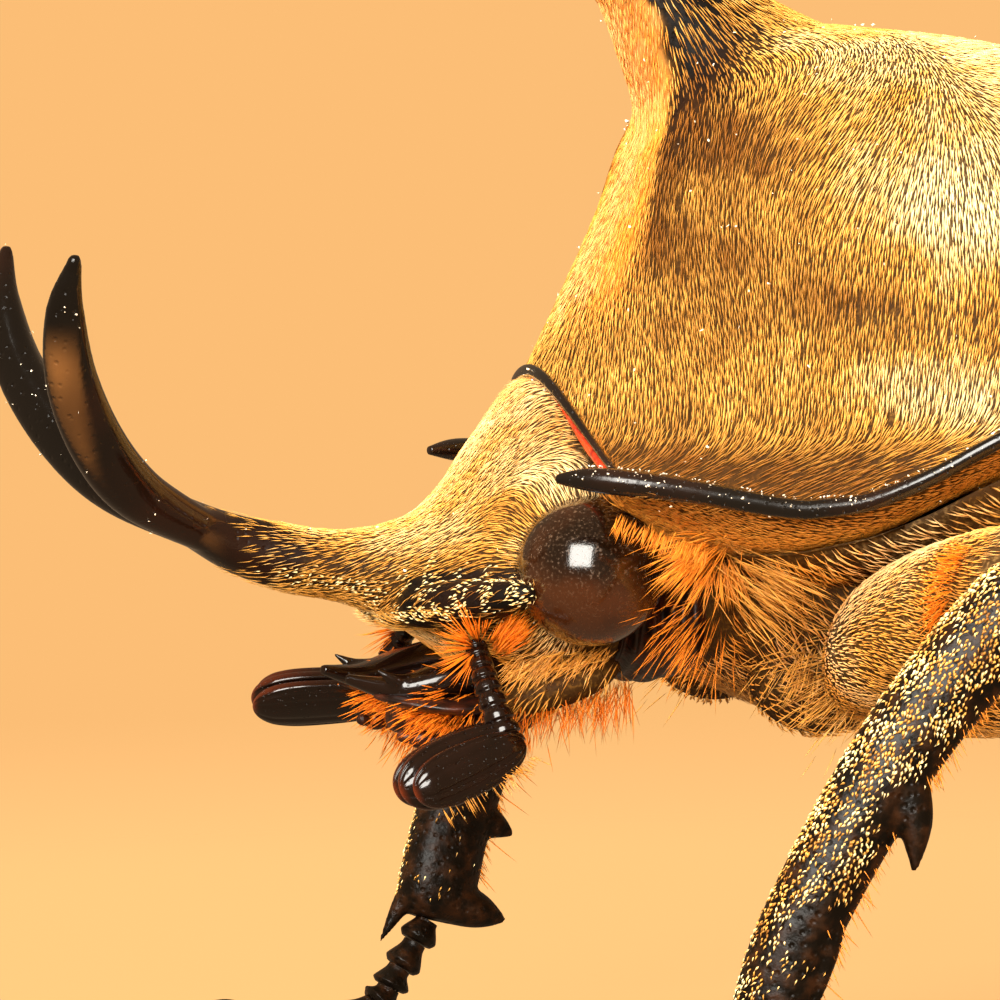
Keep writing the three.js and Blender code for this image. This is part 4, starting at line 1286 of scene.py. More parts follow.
# The wing cases.
wing = {
    # Rows: x, half width, margin height and crest height.
    "rows": [
        (22.65, 15.8, 25.3, 33.3),
        (25.6, 18.0, 24.4, 34.5),
        (30.0, 19.4, 23.0, 35.4),
        (36.0, 20.0, 21.6, 35.9),
        (43.0, 20.1, 20.4, 35.5),
        (50.0, 19.5, 19.3, 33.9),
        (56.0, 17.9, 18.3, 31.2),
        (61.0, 15.2, 17.4, 27.6),
        (65.0, 11.0, 16.8, 23.0),
        (66.8, 7.4, 16.6, 20.2),
        (67.6, 3.4, 16.5, 18.0),
    ],
    "wall": 1.1,
    "rim": 2.0,
    "seam": 0.06,  # half the gap along the middle
    "turnedUnder": 0.62,  # how far round the case goes, as a share of half a turn
    "mesh": (190, 100),
    "unwrap": (22, 68, 20),
    "skinDepth": 0.1,
    "hair": {"gap": 0.092, "reach": 0.36, "length": 0.84, "width": 0.088, "lift": 0.05, "stray": 0.03},
}
inset = 1.5  # of the body inside the wing cases
wingX = between(wing["rows"], np.linspace(0, 1, 400))[:, 0]


def wingShareAt(x):
    # The share along the wing case's rows.
    return np.interp(x, wingX, np.linspace(0, 1, 400))


def wingPoint(t, angle, inside=0.0):
    # The wing cases' outer face, or a face this far inside it, which turns under by the rim at the margin.
    x, wide, side, top = columns(wing["rows"], t)
    up = np.cos(angle)
    y = (wide - inside) * rounded(np.sin(angle), 0.9)
    above = side + (top - inside - side) * np.abs(up) ** 0.92
    return np.stack([x, y, np.where(up > 0, above, side + wing["rim"] * up)], -1)


def casePoint(t, angle):
    # The outer face from the seam to the rim, then back along the inner face.
    share = angle / math.pi
    outer = share < 1
    turn = math.pi * wing["turnedUnder"] * np.where(outer, share, np.maximum(0, 2 - share))
    p = wingPoint(t, turn, np.where(outer, 0.0, wing["wall"] * 0.9))
    p[..., 1] = -np.maximum(p[..., 1], wing["seam"])
    p[..., 2] -= 0.22 * np.exp(-((p[..., 1] / 0.3) ** 2)) * outer
    return p


def caseMarks(points, normals):
    # Golden, in broad soft blotches, and paler along the crest.
    x, y, z = points.T
    pale = 0.48 + 0.13 * ripple(points, 9, 41) + 0.07 * ripple(points, 3, 43) + 0.12 * smooth(30, 34, z)
    return np.clip(pale, 0, 1), np.clip(0.1 + 0.12 * smooth(24, 19, z), 0, 1)


def caseCover(points, normals):
    # The outer face, but for the seam and the front rim.
    x, y, z = points.T
    middle = columns(wing["rows"], wingShareAt(x))[2] - 0.5
    outward = points - np.stack([x, y * 0, middle], -1)
    outside = np.einsum("ij,ij->i", normals, outward) > 0
    return outside * smooth(0.04, 0.3, np.abs(y)) * smooth(22.7, 23.1, x)


caseShape = loft(casePoint, *wing["mesh"])
for hand, sign in hands.items():
    skin = sunk(onHand(caseShape, sign), wing["skinDepth"])
    pale, ember = caseMarks(skin[0], None)
    values = {"pale": pale, "ember": ember}
    piece(f"wing_case_{hand}", skin, finishes["velvet"], [f"elytron_{hand}"], values)

    def caseLie(points, normals, sign=sign):
        turned = np.abs(normals[:, 1])
        way = np.stack([np.ones(len(points)), sign * 0.35 * turned, -0.3 * turned], -1)
        return way + np.cross(normals, way) * 0.15 * ripple(points, 8, 45)[:, None]

    name = f"wing_case_hair_{hand}"
    unwrap = aroundX(*wing["unwrap"])
    count = coat(name, skin, wing["hair"], 8 + sign, caseLie, caseCover, caseMarks, unwrap)
    print("wing case", hand, count, "hairs")

# The breast, the belly and what else shows between the legs and under the wing cases.
body = {
    # Rows of the underside: x and its height.
    "hindBreast": [(22.45, 13.2), (26.0, 12.2), (31.0, 11.4), (37.0, 11.2), (43.0, 11.8)],
    "belly": [(42.8, 11.8), (48.0, 12.2), (53.0, 12.8), (58.0, 13.6), (62.0, 14.4), (64.4, 15.0)],
    "rings": 5,
    "groove": 0.35,
    "waist": {"x": (21.7, 23.2), "inset": 0.45},
    "mesh": {
        "waist": (160, 10),
        "breast": (160, 90),
        "hindBreast": (120, 60),
        "rump": (72, 40),
        "scutellum": (60, 60),
        "belly": (96, 90),
    },
    # Rows of the breast: share along the shield, half width, flank height and bottom.
    "breast": [
        (0.2, 8.2, 18.4, 15.0),
        (0.36, 10.9, 18.2, 13.6),
        (0.52, 12.8, 18.6, 12.7),
        (0.7, 14.2, 19.6, 12.4),
        (0.86, 15.0, 20.4, 12.5),
        (0.995, 15.5, 20.6, 12.9),
    ],
    "rump": [(64.2, 9.0, 20.6, 15.2), (66.0, 6.4, 18.8, 14.9), (67.2, 3.2, 17.3, 15.1)],
    "scutellum": [
        (22.7, 0, 33.2, 2.6, 0.8),
        (24.6, 0, 33.9, 2.4, 0.8),
        (26.4, 0, 34.5, 1.4, 0.7),
        (27.6, 0, 34.8, 0.3, 0.5),
    ],
    "hair": {"gap": 0.14, "reach": 0.4, "length": 0.95, "width": 0.075, "lift": 0.2, "stray": 0.16},
    "bellyHair": {"gap": 0.26, "reach": 0.5, "length": 0.7, "width": 0.085, "lift": 0.08, "stray": 0.12},
}


def underside(x, halfWidth, side, depth, angle):
    y = halfWidth * rounded(np.sin(angle), 0.85)
    return np.stack([x, y, side + depth * rounded(np.cos(angle), 0.8)], -1)


def trunk(rows, around, rings, grooves=0):
    # The body under the wing cases, with grooves between its rings.
    def place(t, angle):
        x, bottom = columns(rows, t)
        share = wingShareAt(x)
        over = wingPoint(share, angle, inset)
        over[..., 0] = x
        wide, side = columns(wing["rows"], share)[1:3]
        step = (t * grooves) % 1
        lap = body["groove"] * (smooth(0.1, 0.0, step) + smooth(0.93, 1.0, step)) if grooves else 0
        under = underside(x, wide - inset, side, side - bottom - lap, angle)
        return np.where((np.cos(angle) > 0)[..., None], over, under)

    return loft(place, around, rings)


def breastPoint(t, angle):
    share, wide, flank, bottom = columns(body["breast"], t)
    rows = columns(shield["rows"], share)
    x, ySide, zSide, fold = rows[2], rows[3], rows[4], rows[6]
    up = np.cos(angle)
    # In front it stays inside the fold; behind it comes out to the margin.
    flare = mix(0.78, 0.95, smooth(4.0, 7.0, x))
    y = mix(wide, ySide * flare, smooth(0.0, 0.3, up)) * rounded(np.sin(angle), 0.8)
    roof = zSide - fold * np.sqrt(np.clip(1 - (y / ySide) ** 2, 0, 1)) - 0.15
    above = flank + (roof - flank) * smooth(0.0, 0.32, up)
    return np.stack([x, y, np.where(up < 0, flank + (flank - bottom) * rounded(up, 0.85), above)], -1)


def backward(points, normals):
    # Back and down, in gentle swirls.
    return np.array([1.0, 0, -0.3]) + 0.25 * np.cross(normals, [1.0, 0, 0]) * ripple(points, 5, 53)[:, None]


def offTheEnds(points, normals):
    return smooth(0.9, 0.75, np.abs(normals[:, 0]))


def notAbove(points, normals):
    # The crease in front of the hip is nearly bare.
    x, y, z = points.T
    crease = bump(x, 5.4 + 0.12 * (z - 16), 0.42) * smooth(18.6, 17.6, z) * smooth(5, 7, np.abs(y))
    return offTheEnds(points, normals) * (normals[:, 2] < 0.75) * (1 - 0.92 * crease)


def onlyAbove(points, normals):
    return offTheEnds(points, normals) * (normals[:, 2] > 0.3)


def belowCases(points, normals):
    margin = columns(wing["rows"], wingShareAt(points[:, 0]))[2]
    return offTheEnds(points, normals) * smooth(1.0, 0.0, points[:, 2] - margin + 0.3)


def waistPoint(t, angle):
    # Dark skin that joins the shield's segment to the wing cases and the body under them.
    over = wingPoint(np.zeros_like(t), angle, body["waist"]["inset"])
    wide, side = wing["rows"][0][1:3]
    depth = side - body["hindBreast"][0][1] - 0.3
    under = underside(t, wide - inset - 0.3, side, depth, angle)
    p = np.where((np.cos(angle) > 0)[..., None], over, under)
    p[..., 0] = mix(*body["waist"]["x"], t)
    return p


mesh = body["mesh"]
piece("waist", loft(waistPoint, *mesh["waist"]), finishes["mouth"])
breast = loft(breastPoint, *mesh["breast"])
hindBreast = trunk(body["hindBreast"], *mesh["hindBreast"])
rump = barrel(body["rump"], *mesh["rump"])
scutellum = limb(body["scutellum"], (0, 1, 0), *mesh["scutellum"])
belly = trunk(body["belly"], *mesh["belly"], body["rings"])
# Name, shape, node, hair, the ends and height of the unwrap, where it grows and how it is marked.
furs = [
    ("breast", breast, "prosternum", body["hair"], (4, 23, 17), notAbove, underMarks),
    ("hind_breast", hindBreast, "metasternum", body["hair"], (22, 44, 18), belowCases, underMarks),
    ("rump", rump, "pygidium", body["bellyHair"], (64, 68, 17), everywhere, underMarks),
    ("scutellum", scutellum, "scutellum", wing["hair"], (22, 28, 33), onlyAbove, caseMarks),
    ("belly", belly, "abdomen", body["bellyHair"], (43, 65, 16), belowCases, underMarks),
]
count = 0
for number, (name, shape, node, look, ends, cover, marks) in enumerate(furs):
    count += furred(name, shape, [node], look, 61 + 2 * number, backward, aroundX(*ends), cover, marks)
print("body", count, "hairs")


# The legs.
soleHeight = 0.55
# Each leg: hip, knee and ankle, the foot's way to its claws, half thicknesses, how far the shin bows
# forward, where its teeth point, and the teeth: (share of the shin, length, lean along the shin).
legs = {
    "fore_left": {
        "hip": (8.2, -6.6, 15.0),
        "knee": (10.3, -22.5, 19.5),
        "ankle": (1.6, -21.9, 3.9),
        "foot": [(0.4, -22.0, 2.4), (-1.9, -22.3, 0.85), (-6.4, -22.8, soleHeight)],
        "coxa": (2.4, 3.2, 2.2),
        "thigh": 3.05,
        "shin": 1.25,
        "bow": 1.45,
        "toothWay": (0.8, -0.5, -0.4),
        "teeth": [(0.47, 2.4, 1.15), (0.71, 1.5, 2.6), (0.93, 2.0, 1)],
    },
    "fore_right": {
        "hip": (8.2, 6.6, 15.0),
        "knee": (7.3, 20.6, 20.2),
        "ankle": (0.85, 18.3, 4.0),
        "foot": [(-0.3, 18.1, 2.2), (-1.6, 17.9, 0.85), (-5.8, 17.3, soleHeight)],
        "coxa": (2.4, 3.2, 2.2),
        "thigh": 2.7,
        "shin": 1.4,
        "bow": 0.5,
        "toothWay": (0.93, -0.1, -0.37),
        "teeth": [(0.47, 1.8, 0.1), (0.77, 2.2, 0.1), (0.95, 2.8, 0)],
    },
}
backLegs = {
    "mid": {
        "hip": (27.2, -8.4, 12.9),
        "knee": (33.0, -24.4, 19.2),
        "ankle": (38.6, -30.6, 5.2),
        "foot": [(39.8, -31.4, 3.2), (42.2, -32.8, 0.95), (46.6, -34.8, soleHeight)],
        "coxa": (2.8, 4.2, 2.3),
        "thigh": 2.9,
        "shin": 1.4,
        "toothWay": (0.5, 0.55, -0.1),
    },
    "hind": {
        "hip": (38.4, -7.8, 12.7),
        "knee": (48.4, -23.6, 17.6),
        "ankle": (57.4, -27.2, 5.2),
        "foot": [(58.8, -27.9, 3.1), (61.6, -29.2, 0.95), (66.2, -30.8, soleHeight)],
        "coxa": (2.8, 5.0, 2.2),
        "thigh": 3.3,
        "shin": 1.6,
        "toothWay": (0.3, 0.65, -0.1),
    },
}
stagger = np.array([-2.4, 1.6, 0])  # how far the right feet stand from the mirror of the left ones
backTeeth = [(0.5, 1.5, 0.8), (0.92, 2.0, 1.3)]
for pair, leg in backLegs.items():
    leg.update(bow=0.5, teeth=backTeeth)
    legs[f"{pair}_left"] = leg
    flip = np.array([1.0, -1.0, 1.0])
    legs[f"{pair}_right"] = {
        **leg,
        "hip": leg["hip"] * flip,
        "knee": leg["knee"] * flip + stagger * 0.35,
        "ankle": leg["ankle"] * flip + stagger * 0.9,
        "foot": [p * flip + stagger for p in leg["foot"]],
        "toothWay": leg["toothWay"] * flip,
    }
legLook = {
    "thighHair": {"gap": 0.072, "reach": 0.28, "length": 0.85, "width": 0.058, "lift": 0.07, "stray": 0.05},
    "backHair": {"gap": 0.16, "reach": 0.45, "length": 0.75, "width": 0.09, "lift": 0.1, "stray": 0.1},
    "shinScales": {
        "finish": "scale",
        **{"gap": 0.072, "reach": 0.15, "length": 0.24, "width": 0.1, "lift": 0.02, "stray": 0.3},
    },
    "backScales": {
        "finish": "scale",
        **{"gap": 0.14, "reach": 0.28, "length": 0.42, "width": 0.12, "lift": 0.04, "stray": 0.2},
    },
    "shinGrain": 0.115,
    "backGrain": 0.17,
    "footJoints": (0.02, 0.17, 0.32, 0.47, 0.62, 1.0),  # where the foot's joints end, as shares of its path
    "mesh": {"coxa": (60, 50), "thigh": (72, 70), "shin": (60, 110), "tooth": (24, 40), "joint": (24, 26)},
}
claw = {
    "length": 2.5,
    "spread": 1.3,
    "thickness": 0.62,
    # From root to tip: share of the length, share of the spread, height and share of the thickness.
    "stations": [(-0.1, 0.1, 0.6, 1.2), (0.35, 0.4, 1.05, 1.1), (0.75, 0.85, 0.75, 0.85), (1, 1, 0.12, 0.25)],
    "mesh": (24, 40),
}
spur = {"length": 1.9, "radius": 0.33, "lean": 0.35}


def outOf(hip):
    return unit([0.15, math.copysign(1, hip[1]), 0.1])


def coxaOf(leg):
    # The first joint, set crosswise into the body.
    wide, reach, deep = leg["coxa"]
    hip = np.array(leg["hip"])
    ends = ((-1, 0.35), (-0.4, 0.92), (0.4, 0.92), (1, 0.5))
    stations = [(*(hip + outOf(hip) * reach * share), wide * size, deep * size) for share, size in ends]
    return limb(stations, (1, 0, 0), *legLook["mesh"]["coxa"])


def thighOf(leg):
    # The thigh, thickest near the hip, and where it starts.
    hip, knee, thick = np.array(leg["hip"]), np.array(leg["knee"]), leg["thigh"]
    start = hip + outOf(hip) * (leg["coxa"][1] + 0.4)
    root = start + outOf(hip) * 0.6
    stations = [(*start, thick * 0.5, thick * 0.4), (*root, thick * 0.66, thick * 0.55)]
    for share, size, rise in ((0.28, 0.98, 0.1), (0.62, 0.92, 0), (0.9, 0.66, 0), (1.03, 0.4, 0)):
        middle = mix(start, knee, share) + [0, 0, rise]
        stations.append((*middle, thick * size, thick * size * 0.78))
    return limb(stations, unit([1, 0, 0.5]), *legLook["mesh"]["thigh"]), start


def squareTo(along, way):
    way = np.asarray(way, float)
    return unit(way - along * (way @ along))


def shinLine(leg):
    # The shin's middle line, by the share of the way from knee to ankle, its way down and its teeth's way.
    knee, ankle = np.array(leg["knee"]), np.array(leg["ankle"])
    down = unit(ankle - knee)
    front = squareTo(down, (-1, 0, 0))

    def centre(share):
        bow = front * leg["bow"] * max(0, math.sin(math.pi * share**1.3))
        return knee + (ankle - knee) * share + bow

    return centre, down, squareTo(down, leg["toothWay"])


def shinOf(leg, grain):
    thick = leg["shin"]
    centre, down, way = shinLine(leg)
    sizes = ((0, 0.55), (0.1, 1.06), (0.4, 1.04), (0.75, 0.96), (0.94, 0.96), (1, 0.6))
    stations = [(*centre(share), thick * size, thick * size * 0.82) for share, size in sizes]

    def keel(t, angle):
        # A blunt ridge along the side that the teeth stand on.
        return 1 + 0.1 * np.exp(-(((np.minimum(angle, math.tau - angle)) / 0.35) ** 2))

    parts = [limb(stations, way, *legLook["mesh"]["shin"], 0.9, keel)]
    tips = []
    for share, reach, lean in leg["teeth"]:
        tip = centre(share) + way * (reach * 0.75 + thick * 0.5) + down * reach * lean * 0.6
        foot = centre(share - 0.025 * reach * lean)
        parts.append(spike(foot, tip, 0.34 + reach * 0.22, way * reach * 0.14, *legLook["mesh"]["tooth"]))
        tips += [tip, mix(foot, tip, 0.5)]
    foot = centre(0.93) - way * thick * 0.55
    tip = foot + down * thick * spur["length"] - way * thick * spur["lean"]
    parts.append(spike(foot, tip, thick * spur["radius"]))
    return fused(parts, grain, 3), np.array(tips), down, way


def footOf(leg):
    # Five joints, each flared at its far end, with a short spine below each flare.
    path = np.array([leg["ankle"], *leg["foot"]], float)
    parts = []
    joints = legLook["footJoints"]
    for i, (start, end) in enumerate(zip(joints, joints[1:])):
        shares = np.linspace(0.03, 0.97, 7)
        flare = 0.46 + 0.3 * smooth(0.1, 0.85, shares) * (1 if i < 4 else 0.8)
        flare = flare - 0.16 * smooth(0.88, 1.0, shares)
        centres = between(path, mix(start, end, shares))
        stations = [(*p, size, size * 0.92) for p, size in zip(centres, flare)]
        parts.append(limb(stations, (0, 1, 0.01), *legLook["mesh"]["joint"]))
        ahead = unit(centres[-1] - centres[0])
        for side in (-0.3, 0.3):
            foot = centres[-2] + np.cross(ahead, (0, 0, 1)) * side - [0, 0, 0.35 if i < 4 else 0.2]
            if foot[2] > 0.7:
                parts.append(spike(foot, foot + ahead * 0.75 - [0, 0, 0.3], 0.09, (0, 0, 0), 8, 8))
    points, faces = merged(parts)
    points[:, 2] = np.maximum(points[:, 2], 0.0)
    return points, faces


def clawsOf(leg):
    # Two hooks that spread from the last joint of the foot.
    end = np.array(leg["foot"][2])
    ahead = unit((end - np.array(leg["foot"][1])) * [1, 1, 0])
    beside = np.array([-ahead[1], ahead[0], 0])
    parts = []
    for sign in hands.values():
        stations = []
        for share, out, z, size in claw["stations"]:
            place = end + ahead * claw["length"] * share + beside * sign * claw["spread"] * out
            radius = claw["thickness"] / 2 * size
            stations.append((*place[:2], z, radius, radius))
        parts.append(limb(stations, unit(np.array([0, 0, 1]) + ahead * 0.5), *claw["mesh"]))
    return merged(parts)


def legMarks(points, normals):
    # Whitish behind and golden in front.
    pale = 0.56 + 0.22 * ripple(points, 1.3, 71) + 0.35 * smooth(0.0, 0.7, normals[:, 0])
    return np.clip(pale, 0, 1), np.full(len(points), 0.02)


count = 0
for number, (name, leg) in enumerate(legs.items()):
    isFore = name.startswith("fore")
    seed = 100 + number * 10
    hip, knee, ankle = (np.array(leg[key], float) for key in ("hip", "knee", "ankle"))
    kinds = ("thighHair", "shinScales", "shinGrain") if isFore else ("backHair", "backScales", "backGrain")
    thighHair, shinScales, grain = (legLook[kind] for kind in kinds)
    thigh, start = thighOf(leg)
    along = unit(knee - start)

    unwrap = aroundLine(hip, knee)

    def alongThigh(points, normals, along=along):
        swirl = 0.15 * np.cross(normals, along) * ripple(points, 4, 73)[:, None]
        return along + np.array([0.25, 0, -0.35]) + swirl

    def coverThigh(points, normals, knee=knee):
        return smooth(1.2, 3.0, np.linalg.norm(points - knee, axis=1)) * 0.9 + 0.1

    hipName, thighName, shinName = (f"{part}_{name}" for part in ("coxa", "femur", "tibia"))
    count += furred(hipName, coxaOf(leg), [hipName], legLook["backHair"], seed, alongThigh, unwrap)
    count += furred(thighName, thigh, [thighName], thighHair, seed + 2, alongThigh, unwrap, coverThigh)
    shin, tips, down, way = shinOf(leg, grain)
    piece(shinName, shin, finishes["leg"], [shinName])

    def downShin(points, normals, down=down):
        return np.tile(down, (len(points), 1))

    def scaled(points, normals, tips=tips, way=way, ankle=ankle, outer=math.copysign(1, hip[1])):
        # Scale-like hairs on the outer side, but for the teeth, the edge they stand on, and the end.
        near = np.min([np.linalg.norm(points - tip, axis=1) for tip in tips], axis=0)
        edge = normals @ way
        patch = smooth(-0.8, 0.3, ripple(points, 1.8, 75))
        high = points[:, 2] - ankle[2]
        spread = (0.45 + 0.55 * patch) * (0.45 + 0.55 * smooth(2, 9, high)) * smooth(0.3, 1.5, high)
        onOuter = 0.06 + 0.94 * smooth(-0.35, 0.1, normals[:, 1] * outer)
        return smooth(1.0, 1.7, near) * smooth(0.86, 0.66, edge) * spread * onOuter

    scaleMap = aroundLine(knee, ankle)
    count += coat(
        f"tibia_scales_{name}", shin, shinScales, seed + 4, downShin, scaled, legMarks, scaleMap
    )
    piece(f"tarsus_{name}", footOf(leg), finishes["leg"], [f"tarsus_{name}"])
    piece(f"claws_{name}", clawsOf(leg), finishes["horn"], [f"claws_{name}"])
print("legs", count, "hairs")


# Long bristles, in tufts and fringes.
def tuft(seed, centre, size, way, count, length, width, spread, **more):
    # Roots spread over a small ball, and ways that spread outwards from its middle.
    out = np.random.default_rng(seed).normal(size=(count, 3))
    roots = centre + out * size / 2
    return {"roots": roots, "ways": unit(way) + out * spread, "length": length, "width": width, **more}


def fringe(seed, start, end, way, count, length, width, depth, **more):
    # Roots along a line, up to about this depth off it.
    rng = np.random.default_rng(seed)
    line = mix(np.array(start), np.array(end), rng.random((count, 1))) + rng.normal(size=(count, 3)) * depth
    ways = np.tile(way, (count, 1)).astype(float)
    return {"roots": line, "ways": ways, "length": length, "width": width, **more}


def fan(seed, centre, radius, low, high, count, length, outward, width, **more):
    # Bristles round a socket, between two angles as seen from the side.
    rng = np.random.default_rng(seed)
    angle = np.radians(rng.uniform(low, high, count))
    sideways = outward + rng.normal(size=count) * 0.25
    ways = np.stack([np.cos(angle), sideways, np.sin(angle)], -1)
    roots = centre + ways * radius * rng.uniform(0.5, 1.3, (count, 1))
    return {"roots": roots, "ways": ways, "length": length, "width": width, **more}


def mirroredTuft(group):
    flip = np.array([1, -1, 1])
    droop = np.asarray(group.get("droop", (0, 0, 0)), float) * flip
    return {**group, "roots": group["roots"] * flip, "ways": group["ways"] * flip, "droop": droop}


# Tufts of the left side; the right side is their mirror. Ember 1 is red-orange, 0.5 orange and 0.2 golden.
underJaw = (-1.2, -4.3, 14.2), (2.3, -3.9, 14.4)
cheekEdge = (-1.6, -4.9, 15.2), (1.6, -4.6, 15.6)
marginEdge = (0.4, -9.9, 20.35), (2.9, -11.8, 19.35)
hanging = (0, 0, -0.15)
headTufts = [
    fan(1, (-2.95, -5.0, 15.8), 0.35, 75, 240, 75, 1.45, -0.3, 0.05, ember=0.85),
    tuft(2, (-2.4, -5.3, 15.8), 0.3, (0.8, -0.2, 0.85), 130, 1.35, 0.045, 0.08, ember=0.85),
    tuft(3, (-3.9, -3.3, 13.6), 0.9, (-0.9, -0.2, -0.5), 420, 0.95, 0.045, 0.2, ember=0.85),
    tuft(4, (-3.2, -3.6, 12.9), 0.9, (-0.4, -0.2, -0.9), 330, 0.9, 0.045, 0.2, ember=0.85),
    tuft(5, (-1.8, -3.9, 13.4), 0.9, (-0.5, -0.3, -0.8), 220, 1.1, 0.04, 0.2, ember=0.8),
    fringe(6, *underJaw, (-0.15, -0.15, -1), 240, 1.7, 0.036, 0.25, ember=0.85, stray=0.28),
    fringe(7, *cheekEdge, (-0.7, -0.4, -0.55), 260, 1.2, 0.04, 0.2, ember=0.32, stray=0.2),
]
bodyTufts = [
    tuft(11, (3.5, -9.6, 19.15), 0.55, (-0.95, -0.4, -0.4), 230, 2.0, 0.042, 0.2, ember=0.6, droop=hanging),
    tuft(12, (3.9, -9.8, 18.75), 0.5, (0.15, -0.3, -1), 70, 1.5, 0.042, 0.2, ember=0.5),
    fringe(13, *marginEdge, (-0.45, -0.3, -0.8), 150, 0.85, 0.038, 0.08, ember=0.6),
    tuft(14, (3.6, -7.2, 16.2), 1.2, (-0.6, -0.2, -0.75), 130, 1.4, 0.036, 0.22, ember=0.72),
    tuft(15, (4.9, -10.4, 18.2), 1.3, (0.8, -0.35, -0.5), 260, 1.7, 0.042, 0.14, ember=0.3),
    tuft(16, (7.9, -9.9, 15.0), 1.5, (-0.8, -0.25, -0.45), 240, 1.6, 0.04, 0.2, ember=0.28),
    tuft(17, (6.6, -9.6, 15.4), 1.1, (-0.5, -0.3, -0.8), 90, 1.1, 0.036, 0.2, ember=0.3),
]
total = 0
for number, (name, groups) in enumerate({"head": headTufts, "breast": bodyTufts}.items()):
    total += bristles(f"{name}_bristles_left", groups, finishes["hair"], 200 + number)
    right = [mirroredTuft(group) for group in groups]
    total += bristles(f"{name}_bristles_right", right, finishes["hair"], 210 + number)


def clubTufts(hand):
    # A comb of straight spines under the club, and short golden hairs at its foot.
    wrist, tip, along, across, over = clubFrame(hand)
    low = across * 0.6 - over * feeler["halfHeight"] * 0.9
    length = np.linalg.norm(tip - wrist)
    comb = [wrist + along * length * share + low for share in (0.15, 0.9)]
    foot = [wrist + along * length * share + low * 0.8 for share in (-0.1, 0.3)]
    down = -over + across * 0.2
    return [
        fringe(31, *comb, down, 26, 0.75, 0.03, 0.03, ember=0.3, stray=0.05),
        fringe(32, *foot, down - along * 0.6, 70, 0.42, 0.035, 0.12, ember=0.35),
    ]


def kneeTuft(leg, seed):
    # Red-orange bristles round the front of the thigh, inside the knee.
    knee = np.array(leg["knee"], float)
    out = math.copysign(1, knee[1])
    roots, facing = scatter(thighOf(leg)[0], 45, np.random.default_rng(seed))
    inside = out * (knee[1] - roots[:, 1])
    chosen = (inside > 1.4) & (inside < 2.5) & (facing @ unit([-1, 0, -0.3]) > 0.4)
    ways = facing[chosen] + [-0.5, 0.6 * out, -0.5]
    return {"roots": roots[chosen], "ways": ways, "length": 0.9, "width": 0.04, "ember": 0.8}


def legTufts(leg, isFore):
    # A fringe inside the knee, spines down the rear of the shin, and a few at its front above the foot.
    knee, ankle = np.array(leg["knee"], float), np.array(leg["ankle"], float)
    centre, down, way = shinLine(leg)
    out = math.copysign(1, knee[1])
    groups = []
    for number, share in enumerate(np.linspace(0.2, 0.82, 6)):
        spine = [centre(s) + way * leg["shin"] * 0.85 for s in (share, share + 0.11)]
        groups.append(fringe(22 + number, *spine, way + down * 0.8, 70, 0.7, 0.04, 0.16, ember=0.55))
        if share > 0.5:
            groups.append(fringe(42 + number, *spine, way + down * 0.4, 3, 1.5, 0.05, 0.06, ember=0.8))
    if isFore:
        front = [ankle + [0.6, 0.25 * out, 4.6], ankle + [-0.4, 0.25 * out, 0.7]]
        groups.append(kneeTuft(leg, 21))
        groups.append(fringe(24, *front, (-0.9, 0.2 * out, 0.15), 14, 0.6, 0.06, 0.1, ember=0.1))
    return groups


for number, hand in enumerate(hands):
    total += bristles(f"feeler_bristles_{hand}", clubTufts(hand), finishes["hair"], 220 + number)
for number, (name, leg) in enumerate(legs.items()):
    groups = legTufts(leg, name.startswith("fore"))
    total += bristles(f"leg_bristles_{name}", groups, finishes["hair"], 230 + number)
print("bristles", total)


# White specks of dust that cling to the coat and the horns.
def specks(name, shape, count, size, seed, cover, density=1.0):
    # Up to count small eight-sided crumbs, each of its own shape. density is that of the places tried.
    rng = np.random.default_rng(seed)
    roots, facing = scatter(shape, density, rng)
    chosen = rng.permutation(np.flatnonzero(cover(roots, facing)))[:count]
    roots, facing = roots[chosen], facing[chosen]
    many = len(roots)
    corners = np.array([[1, 0, 0], [0, 1, 0], [-1, 0, 0], [0, -1, 0], [0, 0, 1], [0, 0, -1]], float)
    sides = [(i, (i + 1) % 4) for i in range(4)]
    faces = np.array([(i, j, 4) for i, j in sides] + [(j, i, 5) for i, j in sides])
    grown = corners * rng.uniform(0.35, 1.0, (many, 6, 1)) * size * rng.uniform(0.5, 1.3, (many, 1, 1))
    axes = unit(rng.normal(size=(many, 3, 3)))
    points = (roots + facing * 0.06)[:, None] + np.einsum("nij,njk->nik", grown, axes)
    solid = (np.arange(many) * 6)[:, None, None] + faces
    piece(name, (points.reshape(-1, 3), [solid.reshape(-1, 3)]), finishes["dust"])


def onShield(points, normals):
    return (points[:, 2] > 20) & (points[:, 0] > 0.3)


def onHead(points, normals):
    return points[:, 0] < -0.5


def onCollar(points, normals):
    return np.abs(points[:, 1]) < 4.5


def onCorner(points, normals):
    return (points[:, 0] < 16) & (normals[:, 2] > 0)


specks("shield_dust", shieldShape, 420, 0.075, 301, onShield)
specks("head_dust", headSkin, 150, 0.06, 302, onHead)
specks("collar_dust", collarShape, 34, 0.08, 303, onCollar)
specks("corner_dust", cornerShape, 260, 0.05, 304, onCorner, 12.0)
print("dust")


